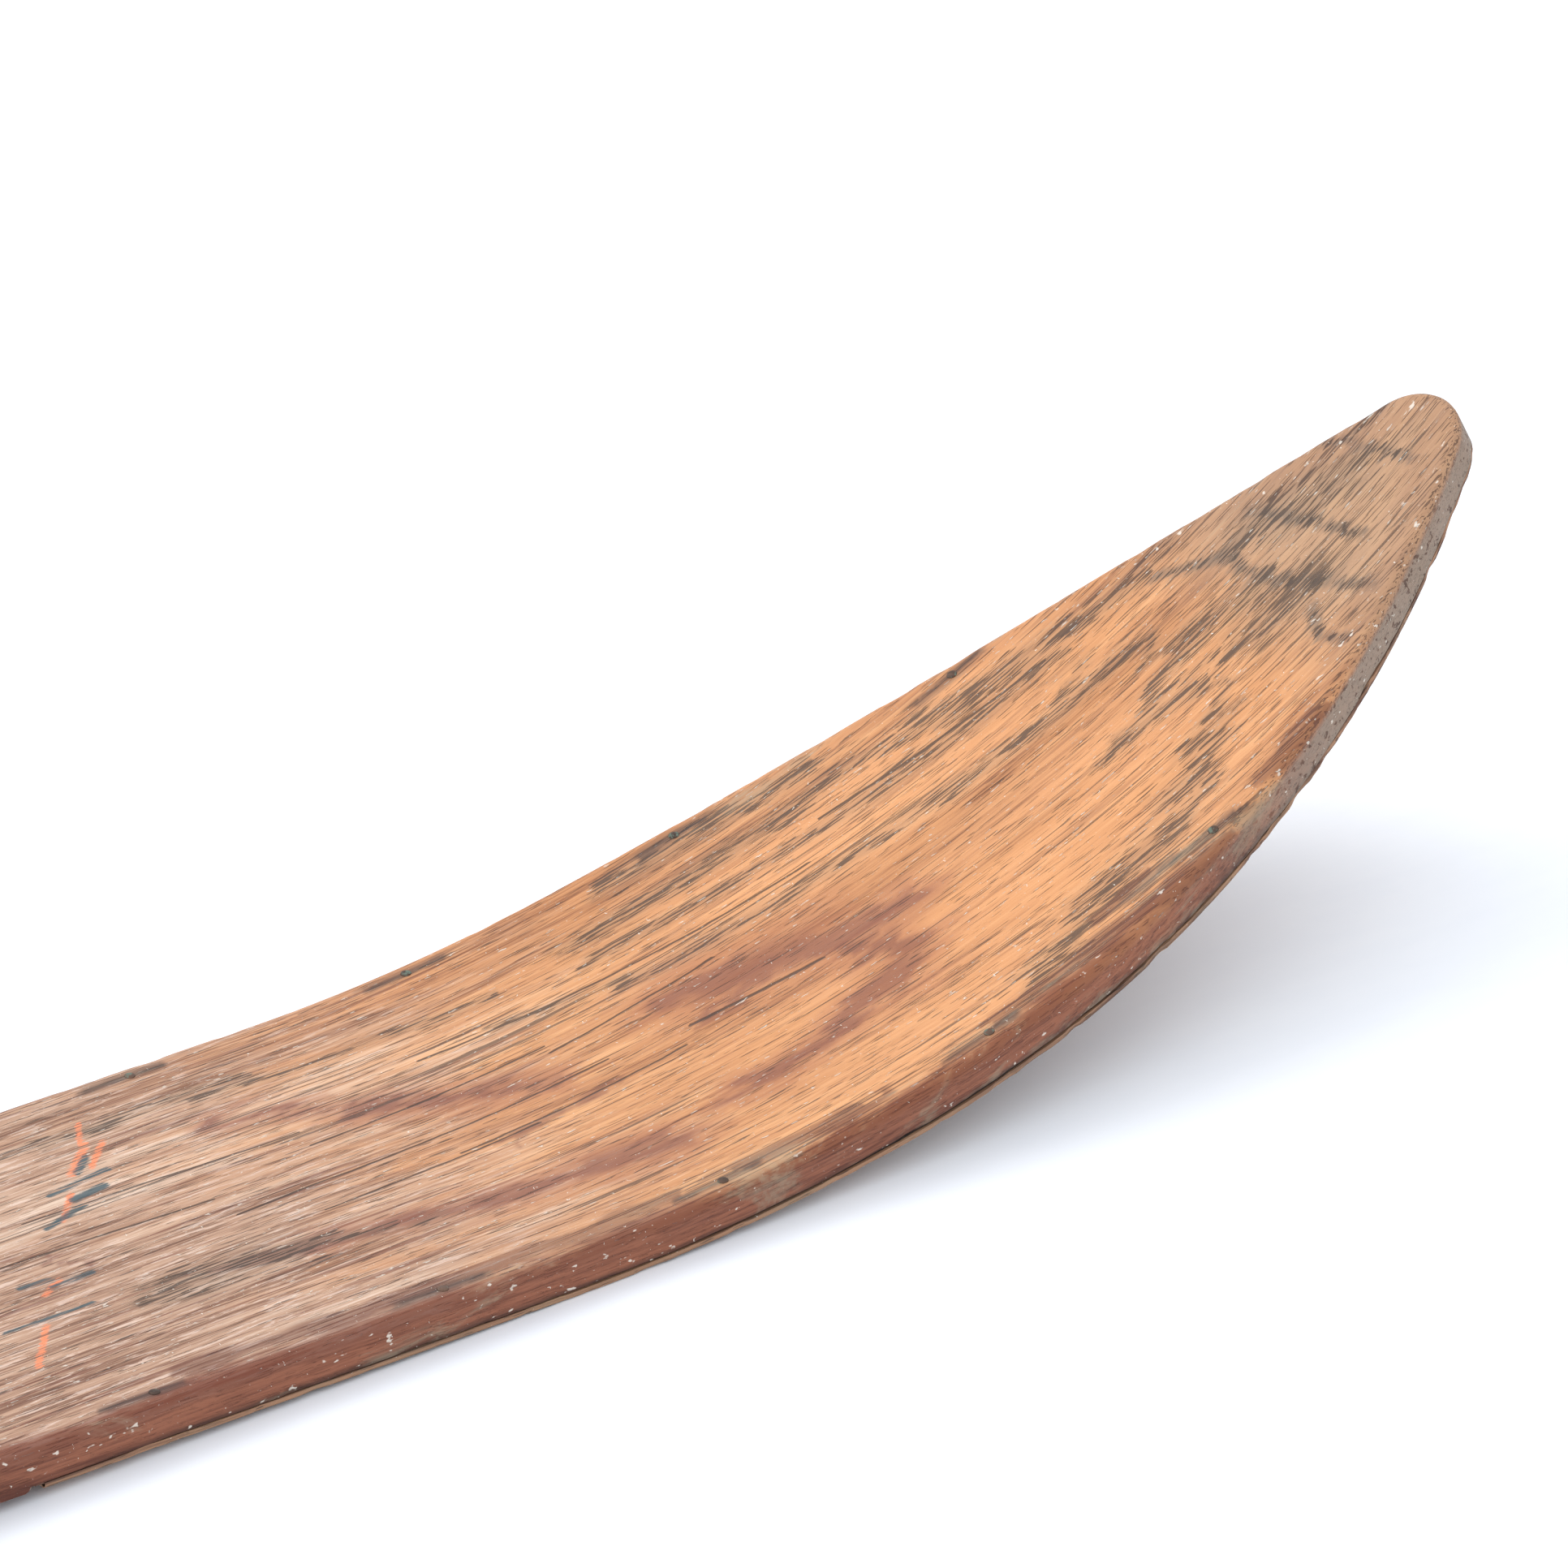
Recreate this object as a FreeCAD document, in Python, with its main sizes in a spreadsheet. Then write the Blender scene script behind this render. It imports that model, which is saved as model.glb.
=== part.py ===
import FreeCAD, Part
import math
import os
import re
import Sketcher

# A wooden water ski, one of a pair, with a sliding heel binding.
# +X runs towards the upturned tip, +Y to the left, +Z up. x = 0 is the middle of the
# ski's length, and z = 0 is the foot of its fin. Sub-parts give heights above the sole.

doc = FreeCAD.newDocument("WoodenWaterSki")
sheet = doc.addObject("Spreadsheet::Sheet", "Sizes")

SIZES = [
    # the board
    ("ski_width", 160.0, "board across its parallel flanks"),
    ("ski_thick", 13.5, "board with its glued sole layer"),
    ("tail_length", 846.0, "middle of the ski back to the tail"),
    ("bend_start", 474.0, "middle of the ski forward to where the sole lifts"),
    ("foot_from_tail", 560.0, "middle of the foot ahead of the tail"),
    ("bend_radius", 615.0, "radius of the sole in the upturned tip"),
    ("bend_angle", 37.7, "pitch of the board at its tip"),
    ("nose_plane_tilt", 28.0, "pitch of the plane in which the nose is shaped"),
    ("nose_flank_radius", 613.0, "long arc that draws each flank in"),
    ("nose_end_radius", 18.0, "small arc that rounds the tip off"),
    ("nose_trim", 2.7, "wood sawn off beyond the bent blank's tip"),
    ("tail_corner_radius", 34.0, "corners of the tail in plan"),
    ("top_round", 3.0, "rounding of the deck's edge"),
    ("sole_round", 1.2, "rounding of the sole's edge"),
    # the saw kerf that lets the tip bend, and the layer glued back under it
    ("veneer_thick", 1.8, "thin layer under the kerf"),
    ("glue_thick", 0.4, "glue that fills the kerf"),
    ("glue_inset", 1.0, "how far the glue has shrunk in from the edge"),
    ("kerf_sawn", 568.1, "kerf in from the tip, along the deck"),
    # copper pins through the layers
    ("pin_radius", 1.6, "pin shank"),
    ("pin_inset", 5.7, "pin centre in from the edge"),
    ("pin_from_tip", 150.0, "foremost pair from the tip, along the deck"),
    ("pin_pitch", 94.0, "from pair to pair, along the deck"),
    ("pin_count", 5.0, "pairs of pins"),
    ("pin_proud", 0.3, "pin head above the deck"),
    # the fin under the tail
    ("keel_length", 230.0, "fin, fore and aft"),
    ("keel_depth", 18.0, "fin below the sole"),
    ("keel_thick", 14.0, "fin from side to side"),
    ("keel_from_tail", 28.0, "fin in from the tail"),
    ("keel_front_run", 95.0, "length of its sloping front"),
    ("keel_back_run", 16.0, "length of its sloping back"),
    ("keel_nose", 4.0, "upright face at its front end"),
    ("keel_round", 2.5, "rounding along its lower edges"),
    ("keel_screw_count", 4.0, "screws that hold it"),
    ("keel_screw_pitch", 60.0, "from screw to screw"),
    # wood screws
    ("screw_radius", 2.1, "screw shank"),
    ("screw_head_radius", 4.2, "screw head"),
    ("screw_head_height", 2.2, "screw head above what it clamps"),
    ("screw_bite", 9.0, "length of screw in the wood"),
    ("screw_fit", 0.05, "clearance round screws and pins, radially"),
    # ribbed mat under the ball of the foot
    ("mat_front", 126.0, "front edge of the mat"),
    ("mat_gap", 8.0, "mat ahead of the heel plate's foremost place"),
    ("mat_width", 94.0, "mat from side to side"),
    ("mat_thick", 3.5, "mat without its ribs"),
    ("mat_corner", 14.0, "corners of the mat"),
    ("rib_height", 1.0, "height of a rib"),
    ("rib_width", 4.0, "width of a rib"),
    ("rib_pitch", 9.0, "from rib to rib"),
    # rubber arch over the toes
    ("toe_back", 8.0, "back of the arch"),
    ("toe_front", 118.0, "front of the arch"),
    ("toe_half", 50.0, "half the room inside, from side to side"),
    ("toe_wall", 4.5, "thickness of the rubber"),
    ("toe_back_side", 26.0, "straight side of the arch at its back"),
    ("toe_front_side", 3.0, "straight side of the arch at its front"),
    ("toe_rake", 30.0, "how far its open ends lean in at the top"),
    ("toe_edge", 5.0, "upright edge of the arch above its flange"),
    ("flange_width", 20.0, "rubber flange under the clamp strip"),
    ("flange_thick", 4.0, "thickness of that flange"),
    ("clamp_width", 15.0, "metal strip over the flange"),
    ("clamp_thick", 2.5, "thickness of that strip"),
    ("clamp_margin", 2.0, "strip in from the flange's ends"),
    ("clamp_shift", 0.5, "middle of the strip out from the flange's middle"),
    ("clamp_screws", 4.0, "screws along each strip"),
    # slotted rails for the sliding heel
    ("heel_back", 150.0, "middle of the heel, behind the middle of the foot"),
    ("rail_out", 12.0, "slot line out from the heel plate's side"),
    ("rail_width", 17.0, "rail from side to side"),
    ("rail_thick", 2.0, "rail metal"),
    ("rail_lift", 4.5, "room under the rail for the bolt head"),
    ("rail_raised", 120.0, "length of the raised part, with its ramps"),
    ("rail_foot", 20.0, "length of each screwed foot"),
    ("rail_screw_out", 12.0, "screw out from the ramp's foot"),
    ("rail_corner", 5.0, "corners of the feet"),
    # heel carriage
    ("travel", 25.0, "slide of the heel each way from the middle"),
    ("slide_gap", 0.4, "heel plate above the deck"),
    ("ear_gap", 0.3, "heel plate's ears above the rails"),
    ("head_gap", 0.4, "bolt head below the rail"),
    ("plate_margin", 3.0, "heel plate out from the cup's flange"),
    ("plate_thick", 2.5, "heel plate metal"),
    ("heel_arm", 62.0, "heel plate forward of the heel's middle"),
    ("ear_length", 50.0, "length of the ears over the rails"),
    ("ear_margin", 9.0, "ear beyond the middle of the slot"),
    ("bolt_radius", 3.1, "clamp bolt shank"),
    ("bolt_head_radius", 6.4, "clamp bolt head"),
    ("bolt_head_height", 3.0, "clamp bolt head, top to bottom"),
    ("bolt_spare", 4.0, "bolt above the closed wing nut"),
    ("slot_gap", 0.4, "bolt to the slot's wall"),
    ("bolt_fit", 0.1, "bolt to the ear's hole"),
    ("washer_thick", 1.2, "washer under the wing nut"),
    ("washer_radius", 6.8, "outside of the washer"),
    # wing nut
    ("nut_height", 7.0, "hub of the wing nut"),
    ("nut_radius", 6.0, "hub at its foot"),
    ("nut_neck_radius", 4.7, "hub at its top"),
    ("nut_fit", 0.05, "bolt to the wing nut's bore"),
    ("nut_gap", 0.3, "wing nut above its washer when it is loose"),
    ("wing_reach", 15.0, "wing tip from the bolt's line"),
    ("wing_top", 15.0, "wing tip above the nut's foot"),
    ("wing_thick", 2.4, "thickness of the wings"),
    # heel cup
    ("cup_radius", 33.0, "inside of the heel cup at its foot"),
    ("cup_wall", 4.5, "thickness of the heel cup"),
    ("cup_bulge", 2.5, "how much wider it is at mid height"),
    ("cup_draw", 5.0, "how much narrower it is at its rim"),
    ("cup_height", 72.0, "heel cup above its flange"),
    ("cup_front_slope", 40.0, "how far the rim stops behind the foot of the cup"),
    ("cup_setback", 8.0, "cup's wall behind the plate's front edge"),
    ("cup_flange", 16.0, "width of the flange round the cup"),
    ("cup_flange_thick", 4.0, "thickness of that flange"),
    ("flange_setback", 2.0, "flange behind the plate's front edge"),
    ("ring_clear", 1.5, "metal horseshoe out from the cup's wall"),
    ("ring_margin", 1.0, "metal horseshoe in from the flange's edge"),
    ("ring_thick", 2.0, "thickness of the metal horseshoe"),
    ("ring_setback", 3.0, "metal horseshoe behind the plate's front edge"),
    ("rivet_radius", 2.0, "rivet shank"),
    ("rivet_head_radius", 3.8, "rivet head"),
    ("rivet_head_height", 1.6, "rivet head above the horseshoe"),
    ("rivets_round", 5.0, "rivets round the back of the heel"),
    ("arm_rivet_setback", 11.4, "rivet on each arm behind the plate's front edge"),
    ("pad_gap", 1.5, "heel pad in from the cup"),
    ("pad_thick", 3.5, "heel pad"),
    ("pad_setback", 4.0, "heel pad behind the plate's front edge"),
    ("groove_width", 3.0, "groove across the heel pad"),
    ("groove_depth", 1.0, "depth of that groove"),
    ("groove_pitch", 9.0, "from groove to groove"),
]
NAMES = {name for name, value, meaning in SIZES}
for row, (name, value, meaning) in enumerate(SIZES, start=1):
    sheet.set(f"A{row}", meaning)
    sheet.set(f"B{row}", str(value))
    sheet.setAlias(f"B{row}", name)
doc.recompute()


# ---------------------------------------------------------------- formulas

def linked(formula):
    """The formula with each size's name pointing at its cell."""
    def point(word):
        return "Sizes." + word.group() if word.group() in NAMES else word.group()
    return re.sub(r"[A-Za-z_]\w*", point, str(formula))


def number(formula):
    """The formula's present value in millimetres or degrees."""
    return float(sheet.evalExpression(linked(formula)))


def bind(thing, **properties):
    """Ties properties to formulas; a double underscore stands for a dot."""
    for name, formula in properties.items():
        thing.setExpression(name.replace("__", "."), linked(formula))


KERF = "(veneer_thick + glue_thick)"
DECK_RADIUS = "(bend_radius - ski_thick)"
TIP_ALONG = f"({DECK_RADIUS} * bend_angle * pi / 180 - nose_trim)"
KERF_ROOT = f"(bend_start + {TIP_ALONG} - kerf_sawn)"
NOSE_LIFT = "(sin(bend_angle) * cos(nose_plane_tilt) + (1 - cos(bend_angle)) * sin(nose_plane_tilt))"
NOSE_END_X = f"({DECK_RADIUS} * {NOSE_LIFT} - nose_trim - nose_end_radius)"
NOSE_REACH = "sqrt((nose_flank_radius - nose_end_radius) ^ 2 - (nose_flank_radius - ski_width / 2) ^ 2)"
KEEL_BACK = "(keel_from_tail - tail_length)"
KEEL_SCREW_FROM = "(keel_length / 2 - (keel_screw_count - 1) * keel_screw_pitch / 2)"
CLAMP_X = "(toe_back + clamp_margin + foot_from_tail - tail_length)"
CLAMP_Y = "(toe_half + toe_wall + flange_width / 2 + clamp_shift)"
CLAMP_SCREW_X = "(toe_back + clamp_margin + clamp_width / 2)"
CLAMP_LENGTH = "(toe_front - toe_back - 2 * clamp_margin)"
CLAMP_PITCH = "((toe_front - toe_back - 2 * clamp_margin - clamp_width) / (clamp_screws - 1))"
FOOT_X = "(foot_from_tail - tail_length)"
HEEL_X = "(foot_from_tail - tail_length - heel_back)"
CUP_FLANGE_RADIUS = "(cup_radius + cup_flange)"
PLATE_HALF = "(cup_radius + cup_flange + plate_margin)"
RAIL_CENTRE = "(cup_radius + cup_flange + plate_margin + rail_out)"
RAIL_SCREW_X = "(rail_raised / 2 + rail_screw_out)"
EAR_TOP = "(ski_thick + rail_lift + rail_thick + ear_gap + plate_thick)"
PLATE_TOP = "(ski_thick + slide_gap + plate_thick)"
NUT_FOOT = f"({EAR_TOP} + washer_thick + nut_gap)"
RING_LINE = "(cup_radius + (cup_wall + ring_clear + cup_flange - ring_margin) / 2)"


# ---------------------------------------------------------------- building blocks

def new_body(label, x=0, y=0, z=0, compound=False):
    """An empty body whose own origin stands at x, y and a height above the sole."""
    body = doc.addObject("PartDesign::Body", label)
    body.AllowCompound = compound
    bind(body, Placement__Base__x=x, Placement__Base__y=y, Placement__Base__z=f"keel_depth + {z}")
    return body


def datum(body, role):
    """One of the body's own planes or axes."""
    return next(item for item in body.Origin.OriginFeatures if item.Role == role)


def plane_sketch(body, role, shift=(0, 0, 0), pitch=None):
    """A sketch on one of the body's planes, shifted in that plane's own directions."""
    sketch = body.newObject("Sketcher::SketchObject", "Outline")
    sketch.AttachmentSupport = [(datum(body, role), "")]
    sketch.MapMode = "FlatFace"
    if pitch is not None:
        turn = FreeCAD.Rotation(FreeCAD.Vector(0, 1, 0), -number(pitch))
        sketch.AttachmentOffset = FreeCAD.Placement(FreeCAD.Vector(), turn)
    for axis, formula in zip("xyz", shift):
        sketch.setExpression("AttachmentOffset.Base." + axis, linked(formula))
    if pitch is not None:
        axis_sign = sketch.AttachmentOffset.Rotation.Axis.y
        sketch.setExpression("AttachmentOffset.Rotation.Angle", linked(f"{-axis_sign} * {pitch}"))
    return sketch


def arc_between(start, end, radius, turn):
    """The shorter arc from start to end; turn is +1 for counter-clockwise, -1 for clockwise."""
    chord = end - start
    middle = (start + end) * 0.5
    rise = math.sqrt(max(radius ** 2 - (chord.Length / 2) ** 2, 0))
    left = FreeCAD.Vector(-chord.y, chord.x, 0).normalize()
    centre = middle + left * rise * turn
    first, last = (start, end) if turn > 0 else (end, start)
    angles = [math.atan2(point.y - centre.y, point.x - centre.x) for point in (first, last)]
    if angles[1] <= angles[0]:
        angles[1] += 2 * math.pi
    circle = Part.Circle(centre, FreeCAD.Vector(0, 0, 1), radius)
    return Part.ArcOfCircle(circle, angles[0], angles[1])


def add_loop(sketch, corners):
    """A closed outline. Each corner is (x, y), or (x, y, radius, turn) if an arc leaves it."""
    points = [FreeCAD.Vector(number(corner[0]), number(corner[1]), 0) for corner in corners]
    begins, ends = [], []
    for place, corner in enumerate(corners):
        start, end = points[place], points[(place + 1) % len(corners)]
        if len(corner) == 2:
            line = sketch.addGeometry(Part.LineSegment(start, end), False)
            begins.append((line, 1))
            ends.append((line, 2))
            continue
        arc = sketch.addGeometry(arc_between(start, end, number(corner[2]), corner[3]), False)
        size = sketch.addConstraint(Sketcher.Constraint("Radius", arc, number(corner[2])))
        sketch.setExpression(f"Constraints[{size}]", linked(corner[2]))
        begins.append((arc, 1 if corner[3] > 0 else 2))
        ends.append((arc, 2 if corner[3] > 0 else 1))
    for place, corner in enumerate(corners):
        following = begins[(place + 1) % len(corners)]
        sketch.addConstraint(Sketcher.Constraint("Coincident", *ends[place], *following))
        for kind, formula, value in zip(("DistanceX", "DistanceY"), corner, points[place]):
            size = sketch.addConstraint(Sketcher.Constraint(kind, -1, 1, *begins[place], value))
            sketch.setExpression(f"Constraints[{size}]", linked(formula))


def add_circle(sketch, x, y, radius):
    """A circle held by its centre and its radius."""
    centre = FreeCAD.Vector(number(x), number(y), 0)
    ring = sketch.addGeometry(Part.Circle(centre, FreeCAD.Vector(0, 0, 1), number(radius)), False)
    for kind, formula, value in (("DistanceX", x, centre.x), ("DistanceY", y, centre.y)):
        size = sketch.addConstraint(Sketcher.Constraint(kind, -1, 1, ring, 3, value))
        sketch.setExpression(f"Constraints[{size}]", linked(formula))
    size = sketch.addConstraint(Sketcher.Constraint("Radius", ring, number(radius)))
    sketch.setExpression(f"Constraints[{size}]", linked(radius))


def pad(body, sketch, length, symmetric=False):
    """Adds the sketch's outline, length thick."""
    feature = body.newObject("PartDesign::Pad", "Pad")
    feature.Profile = sketch
    feature.SideType = "Symmetric" if symmetric else "One side"
    bind(feature, Length=length)
    return feature


def pocket(body, sketch, length, symmetric=False):
    """Cuts the sketch's outline, length deep, and makes sure that something was cut."""
    doc.recompute()
    before = body.Shape.Volume
    feature = body.newObject("PartDesign::Pocket", "Pocket")
    feature.Profile = sketch
    feature.SideType = "Symmetric" if symmetric else "One side"
    bind(feature, Length=length)
    doc.recompute()
    if body.Shape.Volume > before - 1e-6:
        raise RuntimeError(f"{body.Label}: a pocket cut nothing")
    return feature


def revolve(body, sketch, angle=360):
    """Turns the sketch round its own upright axis."""
    feature = body.newObject("PartDesign::Revolution", "Revolution")
    feature.Profile = sketch
    feature.ReferenceAxis = (sketch, ["V_Axis"])
    feature.Angle = angle
    return feature


def row_of(body, originals, axis, length, count):
    """Repeats features along one of the body's axes."""
    feature = body.newObject("PartDesign::LinearPattern", "Row")
    feature.Originals = originals
    feature.Direction = (datum(body, axis), [""])
    bind(feature, Length=length, Occurrences=count)
    body.Tip = feature
    return feature


def mirrored(body, originals, plane):
    """Repeats features across one of the body's planes."""
    feature = body.newObject("PartDesign::Mirrored", "Mirrored")
    feature.Originals = originals
    feature.MirrorPlane = (datum(body, plane), [""])
    body.Tip = feature
    return feature


def round_edges(body, radius, wanted):
    """Fillets the edges whose sampled points all pass the test."""
    doc.recompute()
    base = body.Tip
    names = []
    for index, edge in enumerate(base.Shape.Edges, start=1):
        if all(wanted(point) for point in edge.discretize(5)):
            names.append(f"Edge{index}")
    if not names:
        raise RuntimeError(f"{body.Label}: no edge to round")
    feature = body.newObject("PartDesign::Fillet", "Fillet")
    feature.Base = (base, names)
    bind(feature, Radius=radius)
    doc.recompute()
    return feature


def holes(body, centres, radius, height, depth):
    """Round holes down from a height, at the given centres."""
    sketch = plane_sketch(body, "XY_Plane", (0, 0, height))
    for x, y in centres:
        add_circle(sketch, x, y, radius)
    return pocket(body, sketch, depth)


def box_outline(x0, x1, y0, y1):
    """Corners of a rectangle between two x and two y formulas."""
    return [(x0, y0), (x1, y0), (x1, y1), (x0, y1)]


def rounded_box(x0, x1, half, corner):
    """A rectangle about the x axis, with its four corners rounded."""
    return [(f"{x0} + {corner}", f"-{half}"), (f"{x1} - {corner}", f"-{half}", corner, 1),
            (x1, f"-{half} + {corner}"), (x1, f"{half} - {corner}", corner, 1),
            (f"{x1} - {corner}", half), (f"{x0} + {corner}", half, corner, 1),
            (x0, f"{half} - {corner}"), (x0, f"-{half} + {corner}", corner, 1)]


def horseshoe(inner, outer, front):
    """A band round the heel, open towards +X, with arms as long as front."""
    return [(front, f"-{outer}"), (0, f"-{outer}", outer, -1), (f"-{outer}", 0, outer, -1), (0, outer),
            (front, outer), (front, inner), (0, inner, inner, 1), (f"-{inner}", 0, inner, 1),
            (0, f"-{inner}"), (front, f"-{inner}")]


def tongue(half, front):
    """A plate with a round back about the origin and a straight front edge."""
    return [(front, f"-{half}"), (front, half), (0, half, half, 1), (f"-{half}", 0, half, 1), (0, f"-{half}")]


def round_ended(x0, x1, half):
    """A strip along x whose two ends are half-rounds centred on x0 and x1."""
    return [(x0, f"-{half}"), (x1, f"-{half}", half, 1), (f"{x1} + {half}", 0, half, 1), (x1, half),
            (x0, half, half, 1), (f"{x0} - {half}", 0, half, 1)]


def button_profile(shank, length, head, height):
    """Half a round-headed fastener whose head sits on z = 0, its dome drawn as two slopes."""
    return [(0, f"-{length}"), (shank, f"-{length}"), (shank, 0), (head, 0),
            (f"{head} * 0.8", f"{height} * 0.7"), (f"{head} * 0.4", height), (0, height)]


# ---------------------------------------------------------------- the board

def nose_outline(inset):
    """What is sawn away round the nose: all but an ogive of two long arcs and a small one."""
    half = f"(ski_width / 2 - {inset})"
    flank = f"(nose_flank_radius - {inset})"
    end = f"(nose_end_radius - {inset})"
    share = f"({end} / (nose_flank_radius - nose_end_radius))"
    start_x = f"({NOSE_END_X} - {NOSE_REACH})"
    meet_x = f"({NOSE_END_X} + {NOSE_REACH} * {share})"
    meet_y = f"((nose_flank_radius - ski_width / 2) * {share})"
    clear_y = "(ski_width)"
    clear_x = f"({NOSE_END_X} + ski_width)"
    return [(start_x, half, flank, -1), (meet_x, meet_y, end, -1), (meet_x, f"-{meet_y}", flank, -1),
            (start_x, f"-{half}"), (start_x, f"-{clear_y}"), (clear_x, f"-{clear_y}"),
            (clear_x, clear_y), (start_x, clear_y)]


def layer(label, back, low, high, inset=0):
    """A layer of the bent board between two heights above the sole, with its nose shaped."""
    body = new_body(label)
    sketch = plane_sketch(body, "XZ_Plane")
    add_loop(sketch, layer_profile(back, low, high))
    pad(body, sketch, f"ski_width - 2 * {inset}", symmetric=True)
    shape_nose(body, inset)
    return body


def layer_profile(back, low, high):
    """Side view of a layer: straight from the back, then bent about one centre."""
    under, over = f"(bend_radius - {low})", f"(bend_radius - {high})"
    return [(back, low), ("bend_start", low, under, 1),
            (f"bend_start + {under} * sin(bend_angle)", f"bend_radius - {under} * cos(bend_angle)"),
            (f"bend_start + {over} * sin(bend_angle)", f"bend_radius - {over} * cos(bend_angle)",
             over, -1),
            ("bend_start", high), (back, high)]


def shape_nose(body, inset):
    """Saws the nose square to the middle of the bend, so its wall stands square to the deck."""
    sketch = plane_sketch(body, "XY_Plane", ("bend_start", 0, "ski_thick"), pitch="nose_plane_tilt")
    add_loop(sketch, nose_outline(inset))
    pocket(body, sketch, "4 * ski_width", symmetric=True)


def on_bend(point, height):
    """Whether a point lies at that height above the sole, on the flat or in the bend."""
    bend_x, radius = number("bend_start"), number("bend_radius")
    if point.x <= bend_x:
        return abs(point.z - height) < 0.05
    return abs(math.hypot(point.x - bend_x, radius - point.z) - (radius - height)) < 0.05


def pin_place(index):
    """Distance past the start of the bend, pitch, x and z of one pair of pins on the deck."""
    along = f"({TIP_ALONG} - pin_from_tip - {index} * pin_pitch)"
    pitch = f"(max(0; {along}) / {DECK_RADIUS} * 180 / pi)"
    return pitch, f"(bend_start + min(0; {along}) + {DECK_RADIUS} * sin({pitch}))", \
        f"(bend_radius - {DECK_RADIUS} * cos({pitch}))"


def pin_line(index):
    """Half the distance between the two pins of a pair: in from the edge where they stand."""
    pitch, x, z = pin_place(index)
    along = f"(({x} - bend_start) * cos(nose_plane_tilt) + ({z} - ski_thick) * sin(nose_plane_tilt))"
    past = f"max(0; {along} - {NOSE_END_X} + {NOSE_REACH})"
    edge = f"(sqrt(nose_flank_radius ^ 2 - ({past}) ^ 2) - nose_flank_radius + ski_width / 2)"
    return f"({edge} - pin_inset)"


def pin_holes(body):
    """Holes square to the deck for every pin that reaches this layer."""
    for index in range(int(number("pin_count"))):
        pitch, x, z = pin_place(index)
        sketch = plane_sketch(body, "XY_Plane", (x, 0, z), pitch=pitch)
        for side in ("", "-"):
            add_circle(sketch, 0, side + pin_line(index), "pin_radius + screw_fit")
        pocket(body, sketch, "4 * ski_thick", symmetric=True)


def make_board():
    """The ash board: its sole layer is sawn off at the kerf and glued back by other pieces."""
    board = new_body("board")
    sketch = plane_sketch(board, "XZ_Plane")
    corners = layer_profile(KERF_ROOT, KERF, "ski_thick")
    corners[-1:] = [("-tail_length", "ski_thick"), ("-tail_length", 0), (KERF_ROOT, 0)]
    add_loop(sketch, corners)
    pad(board, sketch, "ski_width", symmetric=True)
    shape_nose(board, 0)
    back = -number("tail_length")
    round_edges(board, "tail_corner_radius",
                lambda p: abs(p.x - back) < 0.01 and abs(abs(p.y) - number("ski_width") / 2) < 0.01)
    deck = number("ski_thick")
    round_edges(board, "top_round", lambda p: on_bend(p, deck) and on_outline(p))
    round_edges(board, "sole_round", lambda p: abs(p.z) < 0.01 and on_outline(p))
    pin_holes(board)
    holes(board, list(wood_screw_places()), "screw_radius + screw_fit", "ski_thick", "screw_bite + screw_fit")
    keel = [(f"{KEEL_BACK} + {x}", 0) for x in keel_screw_places()]
    holes(board, keel, "screw_radius + screw_fit", "ski_thick", "ski_thick")
    return board


def wood_screw_places():
    """Every screw of the toe clamps and of the rails, on both sides of the board."""
    for side in ("", "-"):
        for index in range(int(number("clamp_screws"))):
            yield f"{FOOT_X} + {CLAMP_SCREW_X} + {index} * {CLAMP_PITCH}", side + CLAMP_Y
        for end in ("-", "+"):
            yield f"{HEEL_X} {end} {RAIL_SCREW_X}", side + RAIL_CENTRE


def keel_screw_places():
    """Each keel screw, ahead of the fin's back end."""
    for index in range(int(number("keel_screw_count"))):
        yield f"({KEEL_SCREW_FROM} + {index} * keel_screw_pitch)"


def make_kerf_layers():
    """The dark glue in the saw kerf, shrunk in from the edge, and the thin layer under it."""
    glue = layer("kerf_glue", KERF_ROOT, "veneer_thick", KERF, "glue_inset")
    veneer = layer("tip_veneer", KERF_ROOT, "0", "veneer_thick")
    round_edges(veneer, "sole_round", lambda p: on_bend(p, 0) and on_outline(p))
    for body in (glue, veneer):
        pin_holes(body)


def on_outline(p):
    """Whether a point is on the board's outline, and not on a line across the board."""
    past_tail = p.x - number("tail_corner_radius") < -number("tail_length") + 0.01
    past_bend = p.x > number("bend_start") + 1
    return past_tail or past_bend or abs(p.y) > number("ski_width") / 2 - 0.01


def make_pins():
    """Copper pins down each edge of the tip, each square to the deck, with a flat dome."""
    for label, side in (("pins_left", ""), ("pins_right", "-")):
        pins = []
        for index in range(int(number("pin_count"))):
            pitch, x, z = pin_place(index)
            shank = doc.addObject("Part::Cylinder", "PinShank")
            bind(shank, Radius="pin_radius", Height="ski_thick + pin_proud")
            y_axis = FreeCAD.Vector(0, 1, 0)
            shank.Placement = FreeCAD.Placement(FreeCAD.Vector(), FreeCAD.Rotation(y_axis, -number(pitch)))
            sign = shank.Placement.Rotation.Axis.y
            bind(shank, Placement__Base__x=f"{x} + ski_thick * sin({pitch})",
                 Placement__Base__y=side + pin_line(index),
                 Placement__Base__z=f"keel_depth + {z} - ski_thick * cos({pitch})")
            if abs(number(pitch)) > 0:
                shank.setExpression("Placement.Rotation.Angle", linked(f"{-sign} * {pitch}"))
            pins.append(shank)
        group = doc.addObject("Part::Compound", label)
        group.Links = pins


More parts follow.
